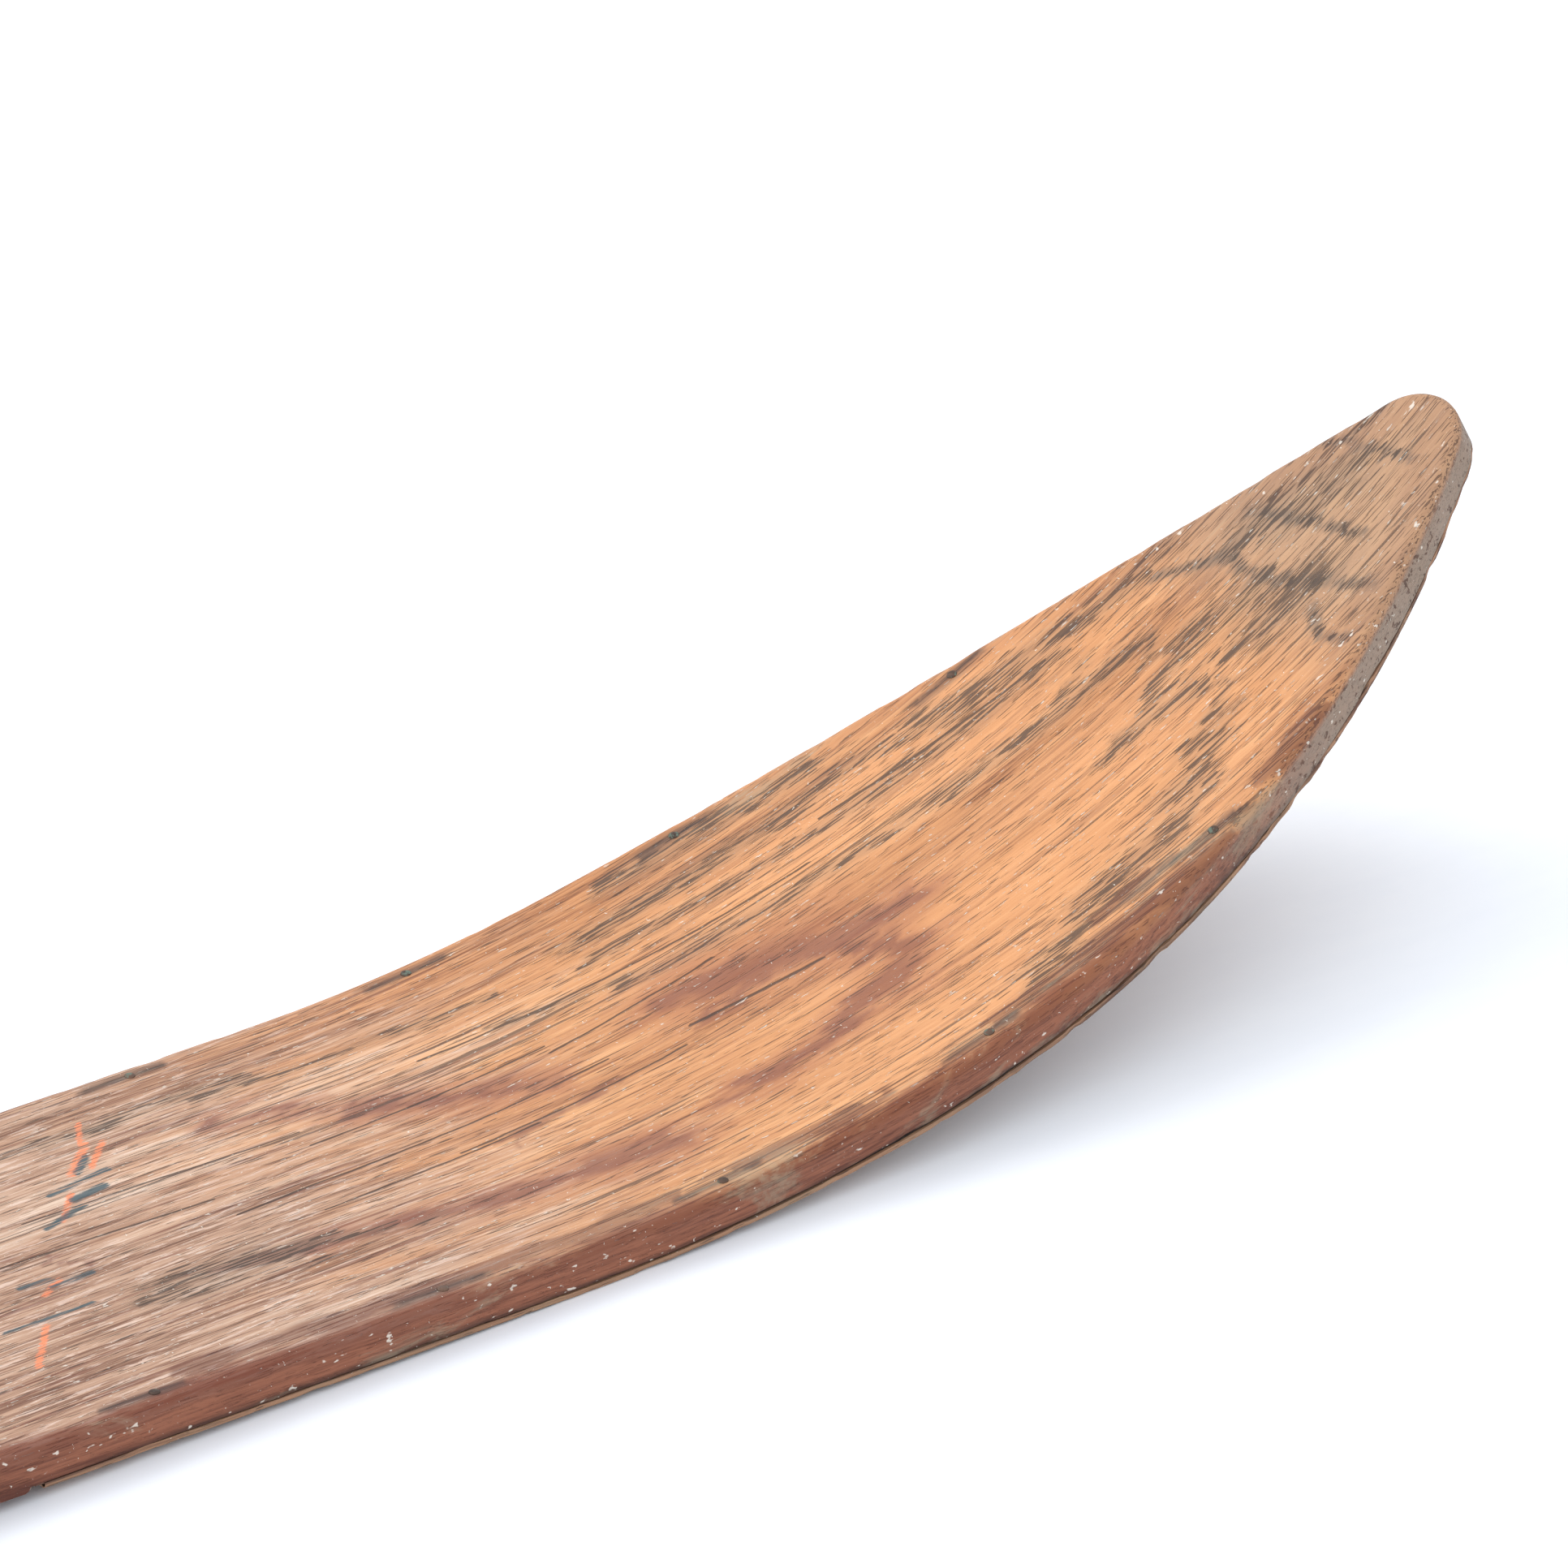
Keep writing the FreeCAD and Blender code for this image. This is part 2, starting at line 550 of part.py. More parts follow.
def make_keel():
    """The fin: a bar with a long sloping front, screwed up under the tail."""
    keel = new_body("keel", x=KEEL_BACK)
    sketch = plane_sketch(keel, "XZ_Plane")
    rise = "(keel_depth - keel_nose)"
    bow = f"(keel_front_run ^ 2 + {rise} ^ 2) / (2 * {rise})"
    add_loop(sketch, [(0, 0), ("keel_back_run", "-keel_depth"),
                      ("keel_length - keel_front_run", "-keel_depth", bow, 1),
                      ("keel_length", "-keel_nose"), ("keel_length", 0)])
    pad(keel, sketch, "keel_thick", symmetric=True)
    depth = number("keel_depth")
    round_edges(keel, "keel_round", lambda p: p.z < -depth + 0.01 and abs(p.y) > 0.1)
    places = [(x, 0) for x in keel_screw_places()]
    holes(keel, places, "screw_radius + screw_fit", 0, "screw_bite + screw_fit")
    return keel


def screw_row(label, x, y, seat, length, pitch, count):
    """A row of round-headed screws along the board, seated at one height."""
    body = new_body(label, x=x, y=y, z=seat, compound=True)
    sketch = plane_sketch(body, "XZ_Plane")
    add_loop(sketch, button_profile("screw_radius", length, "screw_head_radius", "screw_head_height"))
    first = revolve(body, sketch)
    row_of(body, [first], "X_Axis", f"({count} - 1) * {pitch}", count)
    return body


# ---------------------------------------------------------------- the toe binding

def make_mat():
    """Ribbed rubber mat under the ball of the foot, clear of the heel plate's travel."""
    mat = new_body("foot_mat", x=FOOT_X, z="ski_thick")
    back = "(heel_arm - heel_back + travel + mat_gap)"
    sketch = plane_sketch(mat, "XY_Plane")
    add_loop(sketch, rounded_box(back, "mat_front", "mat_width / 2", "mat_corner"))
    pad(mat, sketch, "mat_thick")
    rib = plane_sketch(mat, "XY_Plane", (0, 0, "mat_thick"))
    first = f"({back} + mat_corner)"
    add_loop(rib, box_outline(first, f"{first} + rib_width", "-mat_width / 2 + rib_width",
                              "mat_width / 2 - rib_width"))
    rib_pad = pad(mat, rib, "rib_height")
    room = f"(mat_front - mat_corner - rib_width - {first})"
    count = f"floor({room} / rib_pitch) + 1"
    row_of(mat, [rib_pad], "X_Axis", f"({count} - 1) * rib_pitch", count)
    return mat


def arch_band(half, wall, side):
    """Cross-section of the toe arch: straight sides and a round crown, as a band one wall thick."""
    outer = f"({half} + {wall})"
    return [(f"-{outer}", 0), (f"-{half}", 0), (f"-{half}", side, half, -1), (0, f"{side} + {half}", half, -1),
            (half, side), (half, 0), (outer, 0), (outer, side, outer, 1), (0, f"{side} + {outer}", outer, 1),
            (f"-{outer}", side)]


def make_toe_rubber():
    """The rubber arch that holds the toes, with a flange down each side and raked open ends."""
    toe = new_body("toe_rubber", x=FOOT_X, z="ski_thick")
    band = plane_sketch(toe, "YZ_Plane", (0, 0, "toe_back"))
    add_loop(band, arch_band("toe_half", "toe_wall", "toe_back_side"))
    arch = pad(toe, band, "toe_front - toe_back")
    arch.UseCustomVector = True
    bind(arch, Direction__x="toe_front - toe_back", Direction__z="toe_front_side - toe_back_side")
    under = plane_sketch(toe, "XY_Plane")
    outside = "(toe_half + toe_wall + flange_width)"
    add_loop(under, box_outline("toe_back", "toe_front", f"-{outside}", outside))
    pocket(toe, under, "toe_back_side")
    flange = plane_sketch(toe, "XY_Plane")
    inside = "(toe_half + toe_wall / 2)"
    add_loop(flange, box_outline("toe_back", "toe_front", f"-{outside}", f"-{inside}"))
    add_loop(flange, box_outline("toe_back", "toe_front", inside, outside))
    pad(toe, flange, "flange_thick")
    rake = plane_sketch(toe, "XZ_Plane")
    crown = "(toe_back_side + toe_half + 2 * toe_wall)"
    foot = "(flange_thick + toe_edge)"
    bow = f"(1.6 * {crown})"
    add_loop(rake, [("toe_back - toe_wall", foot), ("toe_back", foot, bow, 1),
                    ("toe_back + toe_rake", crown), ("toe_back - toe_wall", crown)])
    add_loop(rake, [("toe_front + toe_wall", foot), ("toe_front + toe_wall", crown),
                    ("toe_front - toe_rake", crown, bow, 1), ("toe_front", foot)])
    pocket(toe, rake, "4 * toe_half", symmetric=True)
    places = []
    for side in ("", "-"):
        for index in range(int(number("clamp_screws"))):
            places.append((f"{CLAMP_SCREW_X} + {index} * {CLAMP_PITCH}", side + CLAMP_Y))
    holes(toe, places, "screw_radius + screw_fit", "flange_thick", "flange_thick")
    return toe


def make_toe_clamp(label, side):
    """A round-ended metal strip that clamps the rubber's flange to the board."""
    clamp = new_body(label, x=CLAMP_X, y=side + CLAMP_Y, z="ski_thick + flange_thick")
    sketch = plane_sketch(clamp, "XY_Plane")
    end = "(clamp_width / 2)"
    add_loop(sketch, round_ended(end, f"({CLAMP_LENGTH} - {end})", end))
    pad(clamp, sketch, "clamp_thick")
    hole = holes(clamp, [(end, 0)], "screw_radius + screw_fit", "clamp_thick", "clamp_thick")
    row_of(clamp, [hole], "X_Axis", f"(clamp_screws - 1) * {CLAMP_PITCH}", "clamp_screws")
    return clamp


# ---------------------------------------------------------------- the sliding heel

def make_rail(label, side):
    """A bridge-shaped strip, raised in the middle over the bolt's head, with a long slot."""
    rail = new_body(label, x=HEEL_X, y=side + RAIL_CENTRE, z="ski_thick")
    sketch = plane_sketch(rail, "XZ_Plane")
    knee = "(rail_raised / 2)"
    toe = "(rail_raised / 2 + rail_foot)"
    shift = "(rail_thick * tan(22.5))"
    under = [(toe, 0), (toe, "rail_thick"), (f"{knee} + {shift}", "rail_thick"),
             (f"{knee} - rail_lift + {shift}", "rail_lift + rail_thick")]
    over = [(f"{knee} - rail_lift", "rail_lift"), (knee, 0)]
    left = [(f"-({x})", z) for x, z in under[::-1]]
    left_over = [(f"-({x})", z) for x, z in over[::-1]]
    add_loop(sketch, under + left + left_over + over)
    pad(rail, sketch, "rail_width", symmetric=True)
    end = number("rail_raised / 2 + rail_foot")
    round_edges(rail, "rail_corner", lambda p: abs(abs(p.x) - end) < 0.01 and abs(p.y) > 1)
    slot = plane_sketch(rail, "XY_Plane", (0, 0, "rail_lift + rail_thick"))
    reach, half = "(travel + slot_gap)", "(bolt_radius + slot_gap)"
    add_loop(slot, round_ended(f"(-{reach})", reach, half))
    pocket(rail, slot, "rail_thick")
    holes(rail, [(f"-{RAIL_SCREW_X}", 0), (RAIL_SCREW_X, 0)], "screw_radius + screw_fit",
          "rail_thick", "rail_thick")
    return rail


def rivet_places():
    """Centres of the rivets about the middle of the heel: two on the arms, the rest round the back."""
    for side in ("", "-"):
        yield "(heel_arm - arm_rivet_setback)", side + RING_LINE
    steps = int(number("rivets_round")) - 1
    for index in range(steps + 1):
        angle = f"(90 + {index} * 180 / {steps})"
        yield f"({RING_LINE} * cos({angle}))", f"({RING_LINE} * sin({angle}))"


def make_heel_plate():
    """The carriage plate: flat under the heel, stepped up at each side into ears over the rails."""
    plate = new_body("heel_plate", x=HEEL_X, z="ski_thick + slide_gap")
    sketch = plane_sketch(plate, "XY_Plane")
    add_loop(sketch, tongue(PLATE_HALF, "heel_arm"))
    pad(plate, sketch, "plate_thick")
    ears = plane_sketch(plate, "YZ_Plane")
    top = f"({EAR_TOP} - ski_thick - slide_gap)"
    riser, outside = f"({PLATE_HALF} - plate_thick)", f"({RAIL_CENTRE} + ear_margin)"
    for side in (1, -1):
        corners = [(riser, 0), (PLATE_HALF, 0), (PLATE_HALF, f"{top} - plate_thick"),
                   (outside, f"{top} - plate_thick"), (outside, top), (riser, top)]
        add_loop(ears, [(f"{side} * {y}", z) for y, z in corners])
    pad(plate, ears, "ear_length", symmetric=True)
    edge, reach = number(outside), number("ear_length / 2")
    round_edges(plate, "ear_margin * 0.6",
                lambda p: abs(abs(p.y) - edge) < 0.01 and abs(abs(p.x) - reach) < 0.01)
    holes(plate, [(0, "-" + RAIL_CENTRE), (0, RAIL_CENTRE)], "bolt_radius + bolt_fit", top, "plate_thick")
    holes(plate, list(rivet_places()), "rivet_radius + screw_fit", "plate_thick", "plate_thick")
    return plate


def make_clamp_bolts():
    """Round-headed bolts that hang in the rails' slots and clamp the ears down."""
    bolts = new_body("clamp_bolts", x=HEEL_X, z=EAR_TOP, compound=True)
    sketch = plane_sketch(bolts, "YZ_Plane", (RAIL_CENTRE, 0, 0))
    head_top = "(-plate_thick - ear_gap - rail_thick - head_gap)"
    head_foot = f"({head_top} - bolt_head_height)"
    tip = "(washer_thick + nut_gap + nut_height + bolt_spare)"
    add_loop(sketch, [(0, head_foot), ("bolt_head_radius * 0.8", head_foot), ("bolt_head_radius", head_top),
                      ("bolt_radius", head_top), ("bolt_radius", tip), (0, tip)])
    mirrored(bolts, [revolve(bolts, sketch)], "XZ_Plane")
    return bolts


def make_washers():
    """A flat washer on each ear."""
    washers = new_body("washers", x=HEEL_X, z=EAR_TOP, compound=True)
    sketch = plane_sketch(washers, "XY_Plane")
    for side in ("", "-"):
        for radius in ("washer_radius", "bolt_radius + bolt_fit"):
            add_circle(sketch, 0, side + RAIL_CENTRE, radius)
    pad(washers, sketch, "washer_thick")
    return washers


def make_wing_nut(label, side):
    """A turned hub with two flat wings that sweep up and out."""
    nut = new_body(label, x=HEEL_X, y=side + RAIL_CENTRE, z=NUT_FOOT)
    hub = plane_sketch(nut, "XZ_Plane")
    bore = "(bolt_radius + nut_fit)"
    add_loop(hub, [(bore, 0), ("nut_radius", 0), ("nut_radius", "nut_height * 0.2"),
                   ("nut_neck_radius", "nut_height * 0.4"), ("nut_neck_radius", "nut_height"),
                   (bore, "nut_height")])
    revolve(nut, hub)
    wing = plane_sketch(nut, "XZ_Plane")
    root = "(bolt_radius + nut_neck_radius) / 2"
    add_loop(wing, [(root, "nut_height * 0.25"),
                    ("nut_neck_radius * 1.3", "nut_height * 0.25", "wing_reach * 1.3", 1),
                    ("wing_reach", "wing_top * 0.72", "wing_top * 0.15", 1),
                    ("wing_reach - wing_top * 0.26", "wing_top * 0.8", "wing_reach", -1),
                    (root, "nut_height * 0.95")])
    wing_pad = pad(nut, wing, "wing_thick", symmetric=True)
    mirrored(nut, [wing_pad], "YZ_Plane")
    return nut


def cup_profile():
    """Cross-section of the cup's wall: upright at mid height, where two arcs meet, and drawn in above."""
    middle = "(cup_height / 2)"
    lower = f"((cup_bulge ^ 2 + {middle} ^ 2) / (2 * cup_bulge))"
    drawn = "(cup_bulge + cup_draw)"
    upper = f"(({drawn} ^ 2 + {middle} ^ 2) / (2 * {drawn}))"
    widest, rim = "cup_radius + cup_bulge", "cup_radius - cup_draw"
    return [("cup_radius", 0, lower, 1), (widest, middle, upper, 1), (rim, "cup_height"),
            (f"{rim} + cup_wall", "cup_height", upper, -1), (f"{widest} + cup_wall", middle, lower, -1),
            ("cup_radius + cup_wall", 0)]


def make_heel_cup():
    """The rubber heel cup: a wall turned half round the heel, two straight arms and a flange."""
    cup = new_body("heel_rubber", x=HEEL_X, z=PLATE_TOP)
    wall = plane_sketch(cup, "YZ_Plane")
    add_loop(wall, cup_profile())
    revolve(cup, wall, 180)
    arm = plane_sketch(cup, "YZ_Plane")
    add_loop(arm, cup_profile())
    mirrored(cup, [pad(cup, arm, "heel_arm - cup_setback")], "XZ_Plane")
    slope = plane_sketch(cup, "XZ_Plane")
    front, foot = "(heel_arm - cup_setback)", "(cup_flange_thick + cup_wall)"
    add_loop(slope, [(f"{front} + cup_wall", foot), (f"{front} + cup_wall", "cup_height + cup_wall"),
                     (f"{front} - cup_front_slope", "cup_height + cup_wall", "(1.6 * cup_height)", 1),
                     (front, foot)])
    pocket(cup, slope, "4 * cup_radius", symmetric=True)
    flange = plane_sketch(cup, "XY_Plane")
    arms = "heel_arm - flange_setback"
    add_loop(flange, horseshoe("(cup_radius + cup_wall / 2)", CUP_FLANGE_RADIUS, arms))
    pad(cup, flange, "cup_flange_thick")
    holes(cup, list(rivet_places()), "rivet_radius + screw_fit", "cup_flange_thick", "cup_flange_thick")
    return cup


def make_heel_ring():
    """The metal horseshoe that clamps the cup's flange to the plate."""
    ring = new_body("heel_ring", x=HEEL_X, z=f"{PLATE_TOP} + cup_flange_thick")
    sketch = plane_sketch(ring, "XY_Plane")
    add_loop(sketch, horseshoe("(cup_radius + cup_bulge + cup_wall + ring_clear)",
                               f"({CUP_FLANGE_RADIUS} - ring_margin)", "heel_arm - ring_setback"))
    pad(ring, sketch, "ring_thick")
    holes(ring, list(rivet_places()), "rivet_radius + screw_fit", "ring_thick", "ring_thick")
    return ring


def make_rivets():
    """Domed rivets through the horseshoe, the flange and the plate."""
    rivets = new_body("heel_rivets", x=HEEL_X, z=f"{PLATE_TOP} + cup_flange_thick + ring_thick",
                      compound=True)
    length = "(ring_thick + cup_flange_thick + plate_thick)"
    shape = button_profile("rivet_radius", length, "rivet_head_radius", "rivet_head_height")
    arm = plane_sketch(rivets, "XZ_Plane", ("(heel_arm - arm_rivet_setback)", 0, f"-{RING_LINE}"))
    add_loop(arm, shape)
    mirrored(rivets, [revolve(rivets, arm)], "XZ_Plane")
    back = plane_sketch(rivets, "XZ_Plane", (0, 0, f"-{RING_LINE}"))
    add_loop(back, shape)
    first = revolve(rivets, back)
    polar = rivets.newObject("PartDesign::PolarPattern", "Round")
    polar.Originals = [first]
    polar.Axis = (datum(rivets, "Z_Axis"), [""])
    polar.Angle = 180
    bind(polar, Occurrences="rivets_round")
    rivets.Tip = polar
    return rivets


def make_heel_pad():
    """The rubber pad inside the cup, grooved across."""
    heel_pad = new_body("heel_pad", x=HEEL_X, z=PLATE_TOP)
    half = "(cup_radius - pad_gap)"
    front = "(heel_arm - pad_setback)"
    sketch = plane_sketch(heel_pad, "XY_Plane")
    add_loop(sketch, tongue(half, front))
    pad(heel_pad, sketch, "pad_thick")
    groove = plane_sketch(heel_pad, "XY_Plane", (0, 0, "pad_thick"))
    first = f"({front} - groove_pitch)"
    add_loop(groove, box_outline(first, f"{first} + groove_width", "-cup_radius", "cup_radius"))
    cut = pocket(heel_pad, groove, "groove_depth")
    count = f"floor(({front} + {half} * 0.6) / groove_pitch)"
    row = row_of(heel_pad, [cut], "X_Axis", f"({count} - 1) * groove_pitch", count)
    row.Reversed = True
    return heel_pad


make_board()
make_kerf_layers()
make_pins()
make_keel()
screw_row("keel_screws", f"{KEEL_BACK} + {KEEL_SCREW_FROM}", 0, "ski_thick", "(ski_thick + screw_bite)",
          "keel_screw_pitch", "keel_screw_count")
make_mat()
make_toe_rubber()
for side_name, side_sign in (("left", ""), ("right", "-")):
    make_toe_clamp(f"toe_clamp_{side_name}", side_sign)
    screw_row(f"toe_screws_{side_name}", f"{FOOT_X} + {CLAMP_SCREW_X}", side_sign + CLAMP_Y,
              "ski_thick + flange_thick + clamp_thick", "(flange_thick + clamp_thick + screw_bite)",
              CLAMP_PITCH, "clamp_screws")
    make_rail(f"rail_{side_name}", side_sign)
    screw_row(f"rail_screws_{side_name}", f"{HEEL_X} - {RAIL_SCREW_X}", side_sign + RAIL_CENTRE,
              "ski_thick + rail_thick", "(rail_thick + screw_bite)", f"(2 * {RAIL_SCREW_X})", 2)
make_heel_plate()
make_clamp_bolts()
make_washers()
make_wing_nut("wing_nut_left", "")
make_wing_nut("wing_nut_right", "-")
make_heel_cup()
make_heel_ring()
make_rivets()
make_heel_pad()
doc.recompute()

# ---------------------------------------------------------------- check and export

for thing in doc.Objects:
    if "Invalid" in thing.State or "Error" in thing.State:
        raise RuntimeError(f"{thing.Label} did not build: {thing.State}")

nodes = [thing for thing in doc.Objects if thing.TypeId in ("PartDesign::Body", "Part::Compound")]
os.makedirs("parts", exist_ok=True)
for node in nodes:
    if node.Shape.isNull() or not node.Shape.isValid() or not node.Shape.Solids:
        raise RuntimeError(f"{node.Label} has no valid solid")
    node.Shape.exportStep(f"parts/{node.Label}.step")
    print(f"{node.Label:20s} solids {len(node.Shape.Solids):2d}  volume {node.Shape.Volume:10.0f} mm3")
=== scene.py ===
import bpy
import bmesh
import math
import random

import numpy as np
from mathutils import Matrix, Vector, noise


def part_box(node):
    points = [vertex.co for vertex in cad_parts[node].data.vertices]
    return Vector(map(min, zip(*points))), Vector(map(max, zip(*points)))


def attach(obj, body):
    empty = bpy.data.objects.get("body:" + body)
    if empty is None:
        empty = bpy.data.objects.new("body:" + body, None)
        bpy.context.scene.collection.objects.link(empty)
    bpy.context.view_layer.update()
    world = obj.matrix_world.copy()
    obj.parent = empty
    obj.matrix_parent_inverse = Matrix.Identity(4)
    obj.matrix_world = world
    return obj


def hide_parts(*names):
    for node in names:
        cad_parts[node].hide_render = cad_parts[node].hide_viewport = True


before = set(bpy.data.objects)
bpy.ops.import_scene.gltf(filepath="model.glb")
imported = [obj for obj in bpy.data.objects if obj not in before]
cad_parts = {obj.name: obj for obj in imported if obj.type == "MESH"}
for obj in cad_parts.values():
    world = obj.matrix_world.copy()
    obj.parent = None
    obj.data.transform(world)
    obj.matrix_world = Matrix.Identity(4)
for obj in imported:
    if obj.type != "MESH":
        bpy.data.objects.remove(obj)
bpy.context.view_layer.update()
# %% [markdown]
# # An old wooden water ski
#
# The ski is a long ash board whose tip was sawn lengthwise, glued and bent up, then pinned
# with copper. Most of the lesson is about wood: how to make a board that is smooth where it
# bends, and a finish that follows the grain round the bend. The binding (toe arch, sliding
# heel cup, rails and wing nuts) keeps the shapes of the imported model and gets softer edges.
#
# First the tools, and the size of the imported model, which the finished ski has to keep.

# %% [markdown]
# ## Sizes
#
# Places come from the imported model's boxes. What a box can't tell, such as the radius of the
# bend, is written once here. "Flat" below means the board as it was before it was bent: a
# distance along the deck from where the bend starts, a distance across, and a height above
# the sole. The board is modelled flat and wrapped round the bend at the end.

# %% Sizes of the board
MM = 0.001
board_low, board_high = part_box("board")
layer_low, layer_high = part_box("tip_veneer")
glue_low, glue_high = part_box("kerf_glue")
rail_low, rail_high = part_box("rail_left")
HALF = board_high.y
SOLE = board_low.z
THICK = rail_low.z - SOLE
KERF_LENGTH = 175 * MM
BEND_X = layer_low.x + KERF_LENGTH
BEND_RADIUS = 615 * MM
BEND_ANGLE = math.radians(37.7)
KERF = glue_low.z - SOLE + 0.4 * MM
LAYER = glue_low.z - SOLE
NOSE_TILT = math.radians(28)
FLANK_RADIUS = 613 * MM
NOSE_RADIUS = 18 * MM
NOSE_TRIM = 2.7 * MM
TAIL_CORNER = 34 * MM
DECK_RADIUS = BEND_RADIUS - THICK
TAIL = board_low.x - BEND_X
print(f"board {2 * HALF:.3f} wide, {THICK:.4f} thick, bend starts at x = {BEND_X:.3f}")

# %% [markdown]
# ## The outline of the board
#
# In plan the nose is an ogive: a long arc draws each flank in, and a small arc rounds the
# tip. The tail has two round corners. `outline` walks the left half of this line from the
# tail to the tip, at any inset, so the same walk gives the edge and the line a few
# millimetres inside it that keeps the rounding of the edge even.

# %% Walking the outline
lift = math.sin(BEND_ANGLE) * math.cos(NOSE_TILT) + (1 - math.cos(BEND_ANGLE)) * math.sin(NOSE_TILT)
NOSE_END = DECK_RADIUS * lift - NOSE_TRIM - NOSE_RADIUS
NOSE_START = NOSE_END - math.sqrt((FLANK_RADIUS - NOSE_RADIUS) ** 2 - (FLANK_RADIUS - HALF) ** 2)
FLANK_SWEEP = math.asin((NOSE_END - NOSE_START) / (FLANK_RADIUS - NOSE_RADIUS))
FINE_FROM = -260 * MM
FINE_STEP = 2 * MM


def stations():
    """Steps along the outline: (stretch, how far along it), close together where it shows."""
    steps = [("corner", math.radians(angle)) for angle in range(0, 91, 9)]
    straight = TAIL + TAIL_CORNER
    while straight < NOSE_START:
        straight += 8 * MM if straight < FINE_FROM else FINE_STEP
        steps.append(("straight", min(straight, NOSE_START)))
    flank_steps = 150
    steps += [("flank", FLANK_SWEEP * step / flank_steps) for step in range(1, flank_steps + 1)]
    nose_steps = 18
    left = math.pi / 2 - FLANK_SWEEP
    steps += [("nose", FLANK_SWEEP + left * step / nose_steps) for step in range(1, nose_steps + 1)]
    return steps


def outline(station, inset):
    """The point on the left half of the outline at a station, a little way in from it."""
    stretch, along = station
    if stretch == "corner":
        reach = TAIL_CORNER - inset
        return TAIL + TAIL_CORNER - reach * math.cos(along), HALF - TAIL_CORNER + reach * math.sin(along)
    if stretch == "straight":
        return along, HALF - inset
    if stretch == "flank":
        reach = FLANK_RADIUS - inset
        return NOSE_START + reach * math.sin(along), HALF - FLANK_RADIUS + reach * math.cos(along)
    reach = NOSE_RADIUS - inset
    return NOSE_END + reach * math.sin(along), reach * math.cos(along)


walk = stations()
print(len(walk), "stations; the nose starts", round(NOSE_START, 4), "and ends", round(NOSE_END, 4))

# %% [markdown]
# ## Bending
#
# The bend operator needs a window, and the Simple Deform modifier can't keep the nose's
# wall square to a slanted saw cut. So the wrap is written out: a point of the flat board
# goes to the same height on a circle round the bend's centre. Over the nose, where the
# outline was sawn square to a tilted plane, the wrap drops each point along that plane's
# normal.

# %% Wrapping the flat board round the bend
def foot_angle(along, height):
    """How far round the bend a point of the nose lies."""
    slant = Vector((math.cos(NOSE_TILT), math.sin(NOSE_TILT)))
    normal = Vector((-math.sin(NOSE_TILT), math.cos(NOSE_TILT)))
    start = Vector((0, THICK - BEND_RADIUS)) + slant * along
    toward = start.dot(normal)
    fall = -toward - math.sqrt(toward ** 2 - start.length_squared + (BEND_RADIUS - height) ** 2)
    foot = start + normal * fall
    return math.atan2(foot.x, -foot.y)


def bend_angle(along, height):
    """The pitch of the board at a distance from the start of the bend."""
    if along <= 0:
        return 0.0
    if along < NOSE_START:
        return foot_angle(NOSE_START, height) * along / NOSE_START
    return foot_angle(along, height)


def wrap(flat):
    """Where a point of the flat board goes."""
    angle = bend_angle(flat.x, flat.z)
    reach = BEND_RADIUS - flat.z
    x = BEND_X + min(flat.x, 0) + reach * math.sin(angle)
    return Vector((x, flat.y, SOLE + BEND_RADIUS - reach * math.cos(angle)))


def wrap_board(piece):
    """Wraps a flat piece and keeps its flat place in an attribute, for the grain to follow."""
    mesh = piece.data
    grain = mesh.attributes.new("grain", "FLOAT_VECTOR", "POINT")
    for vertex in mesh.vertices:
        flat = vertex.co.copy()
        along = bend_angle(flat.x, flat.z) * DECK_RADIUS + min(flat.x, 0)
        grain.data[vertex.index].vector = (along, flat.y, flat.z)
        vertex.co = wrap(flat)
    mesh.update()


# %% [markdown]
# ## Small helpers for edit mode
#
# Operators act on everything that is selected, so each step starts by selecting nothing.

# %% Selecting and editing
def only(piece):
    """Makes one object the only selected and the active one."""
    if bpy.context.object and bpy.context.object.mode != "OBJECT":
        bpy.ops.object.mode_set(mode="OBJECT")
    bpy.ops.object.select_all(action="DESELECT")
    piece.select_set(True)
    bpy.context.view_layer.objects.active = piece


def edit_edges(piece, wanted):
    """Goes into edit mode with the edges selected whose two ends pass the test."""
    only(piece)
    bpy.ops.object.mode_set(mode="EDIT")
    bpy.ops.mesh.select_mode(type="EDGE")
    bpy.ops.mesh.select_all(action="DESELECT")
    bpy.ops.object.mode_set(mode="OBJECT")
    points = piece.data.vertices
    for edge in piece.data.edges:
        edge.select = all(wanted(points[end].co) for end in edge.vertices)
    bpy.ops.object.mode_set(mode="EDIT")


def tidy(piece, distance=0.00001):
    """Merges doubled points and turns every face outwards."""
    only(piece)
    bpy.ops.object.mode_set(mode="EDIT")
    bpy.ops.mesh.select_all(action="SELECT")
    bpy.ops.mesh.remove_doubles(threshold=distance)
    bpy.ops.mesh.normals_make_consistent(inside=False)
    bpy.ops.object.mode_set(mode="OBJECT")


def apply_modifier(piece, kind, **settings):
    """Adds a modifier, sets it and applies it."""
    only(piece)
    modifier = piece.modifiers.new(kind.title(), kind)
    for name, value in settings.items():
        setattr(modifier, name, value)
    bpy.ops.object.modifier_apply(modifier=modifier.name)


# %% [markdown]
# ## Board and sole layer
#
# Both are one shape at two depths, so one function makes them: a grid laid on the outline,
# given its thickness by Solidify, with the two long edges bevelled in edit mode. The second
# column of the grid runs 4 mm inside the edge everywhere, which leaves the bevel room.

# %% A flat layer of the board
BORDER = 4 * MM


